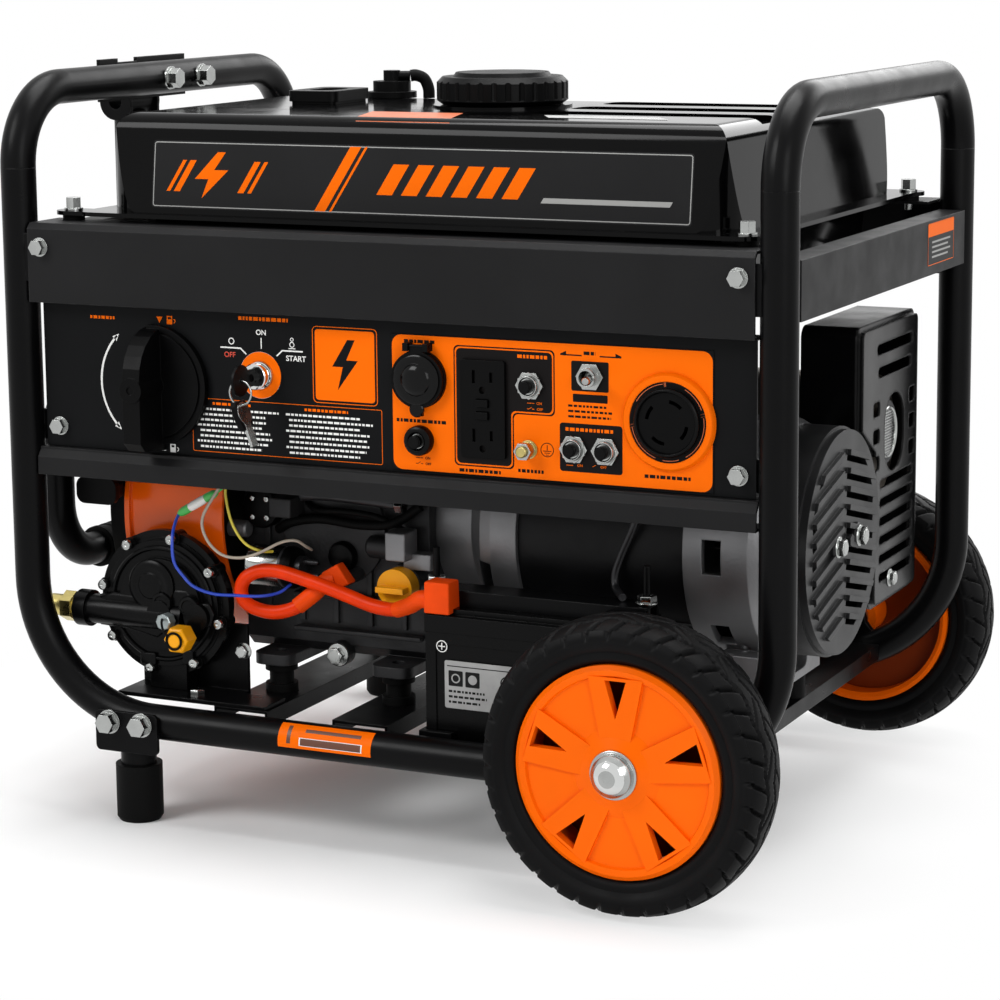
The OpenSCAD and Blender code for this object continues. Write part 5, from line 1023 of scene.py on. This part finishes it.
for tag, facing, s in (("near", FRONT, 1), ("far", BACK, -1)):
    y = axle_lo[1] / MM * s
    body = "front_wheel" if s == 1 else "rear_wheel"
    # the rim's closed back behind the spoke windows, a real part; its darker orange colour is painted shade
    turned(f"wheel_back_{tag}", rect(17.3, 0, rim_r - 6.4, -1.6), (wheel_x, tyre_mid * s + s * 6, wheel_z),
        "wheel_painted_shade", body, steps=96, facing=facing)
    turned(f"hub_washer_{tag}", [(0, 11.2), (15.6, 11.2), (16.4, 11.5), (16.4, 12.1), (15.8, 12.5),
        (12.6, 12.6)], (wheel_x, y + s * 23.6, wheel_z), "zinc", steps=64, facing=facing)
    dome = [(13.0, 12.4), (13.1, 14.4), (12.6, 16.0)]
    dome += [(12.6 * cos(radians(a)), 16.0 + 7.4 * sin(radians(a)))
        for a in range(10, 90, 10)] + [(0, 23.4)]
    turned(f"hub_nut_{tag}", dome, (wheel_x, y + s * 23.6, wheel_z), "chrome", steps=64, facing=facing)

# ---------------------------------------------------------------- exhaust end, cover and shield screws
arrestor = (271.4, 89, 272)
wires = bmesh.new()
r = 17.5
for k in range(-8, 9):
    d = k * 2.1
    half = sqrt(max(0, r * r - d * d))
    for swap in (0, 1):
        c = rect(-half, d - 0.28, half, d + 0.28)
        pts = [(b, a) if swap else (a, b) for a, b in c]
        low = [wires.verts.new(at(0, arrestor[1] + a, arrestor[2] + b) + Vector((arrestor[0] * MM, 0, 0)))
            for a, b in pts]
        high = [wires.verts.new(v.co + Vector((0.6 * MM, 0, 0))) for v in low]
        wires.faces.new(high)
        wires.faces.new(low)
        for i in range(4):
            wires.faces.new((low[i], low[(i + 1) % 4], high[(i + 1) % 4], high[i]))
piece("arrestor_mesh", mesh_of("arrestor_mesh", wires), "chrome")
turned("arrestor_ring", [(19.4, -3), (19.4, 1.2), (18.6, 1.8), (17.2, 1.4), (16.8, 0)], arrestor, "zinc",
    steps=64, facing=RIGHT)
turned("arrestor_plate", [(19, -0.2), (23.4, -0.2), (24.2, -0.8), (24.2, -3)], arrestor, "steel", steps=64,
    facing=RIGHT)
# a near-black disc closing the outlet behind the mesh: painted shade for the inside of the pipe
turned("arrestor_back", [(0, -0.2), (17.6, -0.2), (17.6, -1)], arrestor, "painted_shade", steps=48, facing=RIGHT)

for i, y in enumerate((-58, -13)):
    turned(f"cover_boss_{i}", [(9.4, 0), (9.4, 2.2), (8.6, 3), (0, 3)], (281.8, y, 215), "cover", steps=40,
        facing=RIGHT)
    hex_head(f"cover_screw_{i}", (284.8, y, 215), 11, 4.4, washer=7.4, turn=20 * i, facing=RIGHT)
hex_head("shield_bolt", (275, 88, 163), 9, 3.8, washer=6.6, turn=9, facing=RIGHT)

# ---------------------------------------------------------------- ignition keys
tilted = (Y, Vector((-sin(radians(20)), 0, cos(radians(20)))),
          Vector((cos(radians(20)), 0, sin(radians(20)))))
head = [(-8.6, 5.5), (-8.6, -7), (-6, -11.5), (-3.6, -12.8), (3.6, -12.8), (6, -11.5), (8.6, -7), (8.6, 5.5),
    (6, 8.6), (-6, 8.6)]
plate("spare_key_head", [head, ring(0, 5.4, 2.2, 24)], (ign_x - 1.7, -223, 310.2), 4.4, "plastic", "ring",
    soft=0.9, facing=tilted)

# ---------------------------------------------------------------- camera, light and floor
YAW, PITCH, ROLL = 0.4419, 0.1670, -0.0092
ahead = Vector((-sin(YAW) * cos(PITCH), cos(YAW) * cos(PITCH), -sin(PITCH)))
side = Vector((cos(YAW), sin(YAW), 0))
above = side.cross(ahead)
right = side * cos(ROLL) + above * sin(ROLL)
up = above * cos(ROLL) - side * sin(ROLL)
camera = linked(bpy.data.objects.new("camera", bpy.data.cameras.new("camera")))
camera.data.sensor_width = 36
camera.data.lens = 105.84
camera.data.shift_x = -0.0041
camera.data.shift_y = -0.0734
camera.data.clip_start, camera.data.clip_end = 0.05, 60
camera.matrix_world = Matrix(((right.x, up.x, -ahead.x, 0.94075), (right.y, up.y, -ahead.y, -1.9573),
    (right.z, up.z, -ahead.z, 0.6377), (0, 0, 0, 1)))
bpy.context.scene.camera = camera


def area_light(name, place, target, size, power):
    light = bpy.data.lights.new(name, "AREA")
    light.shape, light.size, light.size_y = "RECTANGLE", size[0], size[1]
    light.energy = power
    o = linked(bpy.data.objects.new(name, light))
    o.location = place
    o.rotation_euler = (Vector(target) - Vector(place)).to_track_quat("-Z", "Y").to_euler()


area_light("key", (-1.5, -2.3, 2.3), (0, 0, 0.25), (1.4, 1.4), 60)
area_light("fill", (2.3, -1.9, 1.3), (0.1, 0, 0.25), (1.1, 1.6), 24)
area_light("top", (0.1, 0.3, 2.6), (0, 0, 0.4), (2.2, 1.4), 84)
area_light("rim", (0.6, 2.6, 1.7), (0, 0, 0.35), (2.4, 1.2), 36)


def seen(tree):
    """1 where a camera, mirror or glass ray looks, 0 for light that falls on the object."""
    path = node(tree, "LightPath")
    out = path.outputs["Is Camera Ray"]
    for kind in ("Is Glossy Ray", "Is Transmission Ray"):
        either = node(tree, "Math")
        either.operation = "MAXIMUM"
        tree.links.new(out, either.inputs[0])
        tree.links.new(path.outputs[kind], either.inputs[1])
        out = either.outputs[0]
    return out


def shared(tree, share, first, second, target):
    """Joins two shaders by their share of each other into the output."""
    mix = node(tree, "MixShader")
    for source, socket in zip((share, first, second), mix.inputs):
        tree.links.new(source, socket)
    tree.links.new(mix.outputs[0], target.inputs["Surface"])


world = bpy.data.worlds.new("studio")
bpy.context.scene.world = world
world.use_nodes = True
tree = world.node_tree
tree.nodes.clear()
soft = node(tree, "Background", Color=(1, 1, 1, 1), Strength=0.20)
white = node(tree, "Background", Color=(1, 1, 1, 1), Strength=1.0)
shared(tree, seen(tree), soft.outputs[0], white.outputs[0], node(tree, "OutputWorld"))

# the floor keeps its shadow near the object and turns plain white further out
floor_mesh = bpy.data.meshes.new("floor")
floor_mesh.from_pydata([(-9, -9, 0), (9, -9, 0), (9, 9, 0), (-9, 9, 0)], [], [(0, 1, 2, 3)])
floor = linked(bpy.data.objects.new("floor", floor_mesh))
floor.location = (-0.08, -0.04, 0)
floor_mat = finish("floor", 0.88, 0.75, spec=0.2, mottle=0.01)
tree = floor_mat.node_tree
far = node(tree, "VectorMath")
far.operation = "LENGTH"
tree.links.new(node(tree, "TexCoord").outputs["Object"], far.inputs[0])
fade = node(tree, "MapRange", From_Min=0.18, From_Max=0.50)
tree.links.new(far.outputs["Value"], fade.inputs["Value"])
share = node(tree, "Math")
share.operation = "MULTIPLY"
tree.links.new(fade.outputs["Result"], share.inputs[0])
tree.links.new(seen(tree), share.inputs[1])
shared(tree, share.outputs[0], tree.nodes["Principled BSDF"].outputs[0], node(tree, "Emission").outputs[0],
       tree.nodes["Material Output"])
floor_mesh.materials.append(floor_mat)

bpy.context.scene.view_settings.view_transform = "Standard"
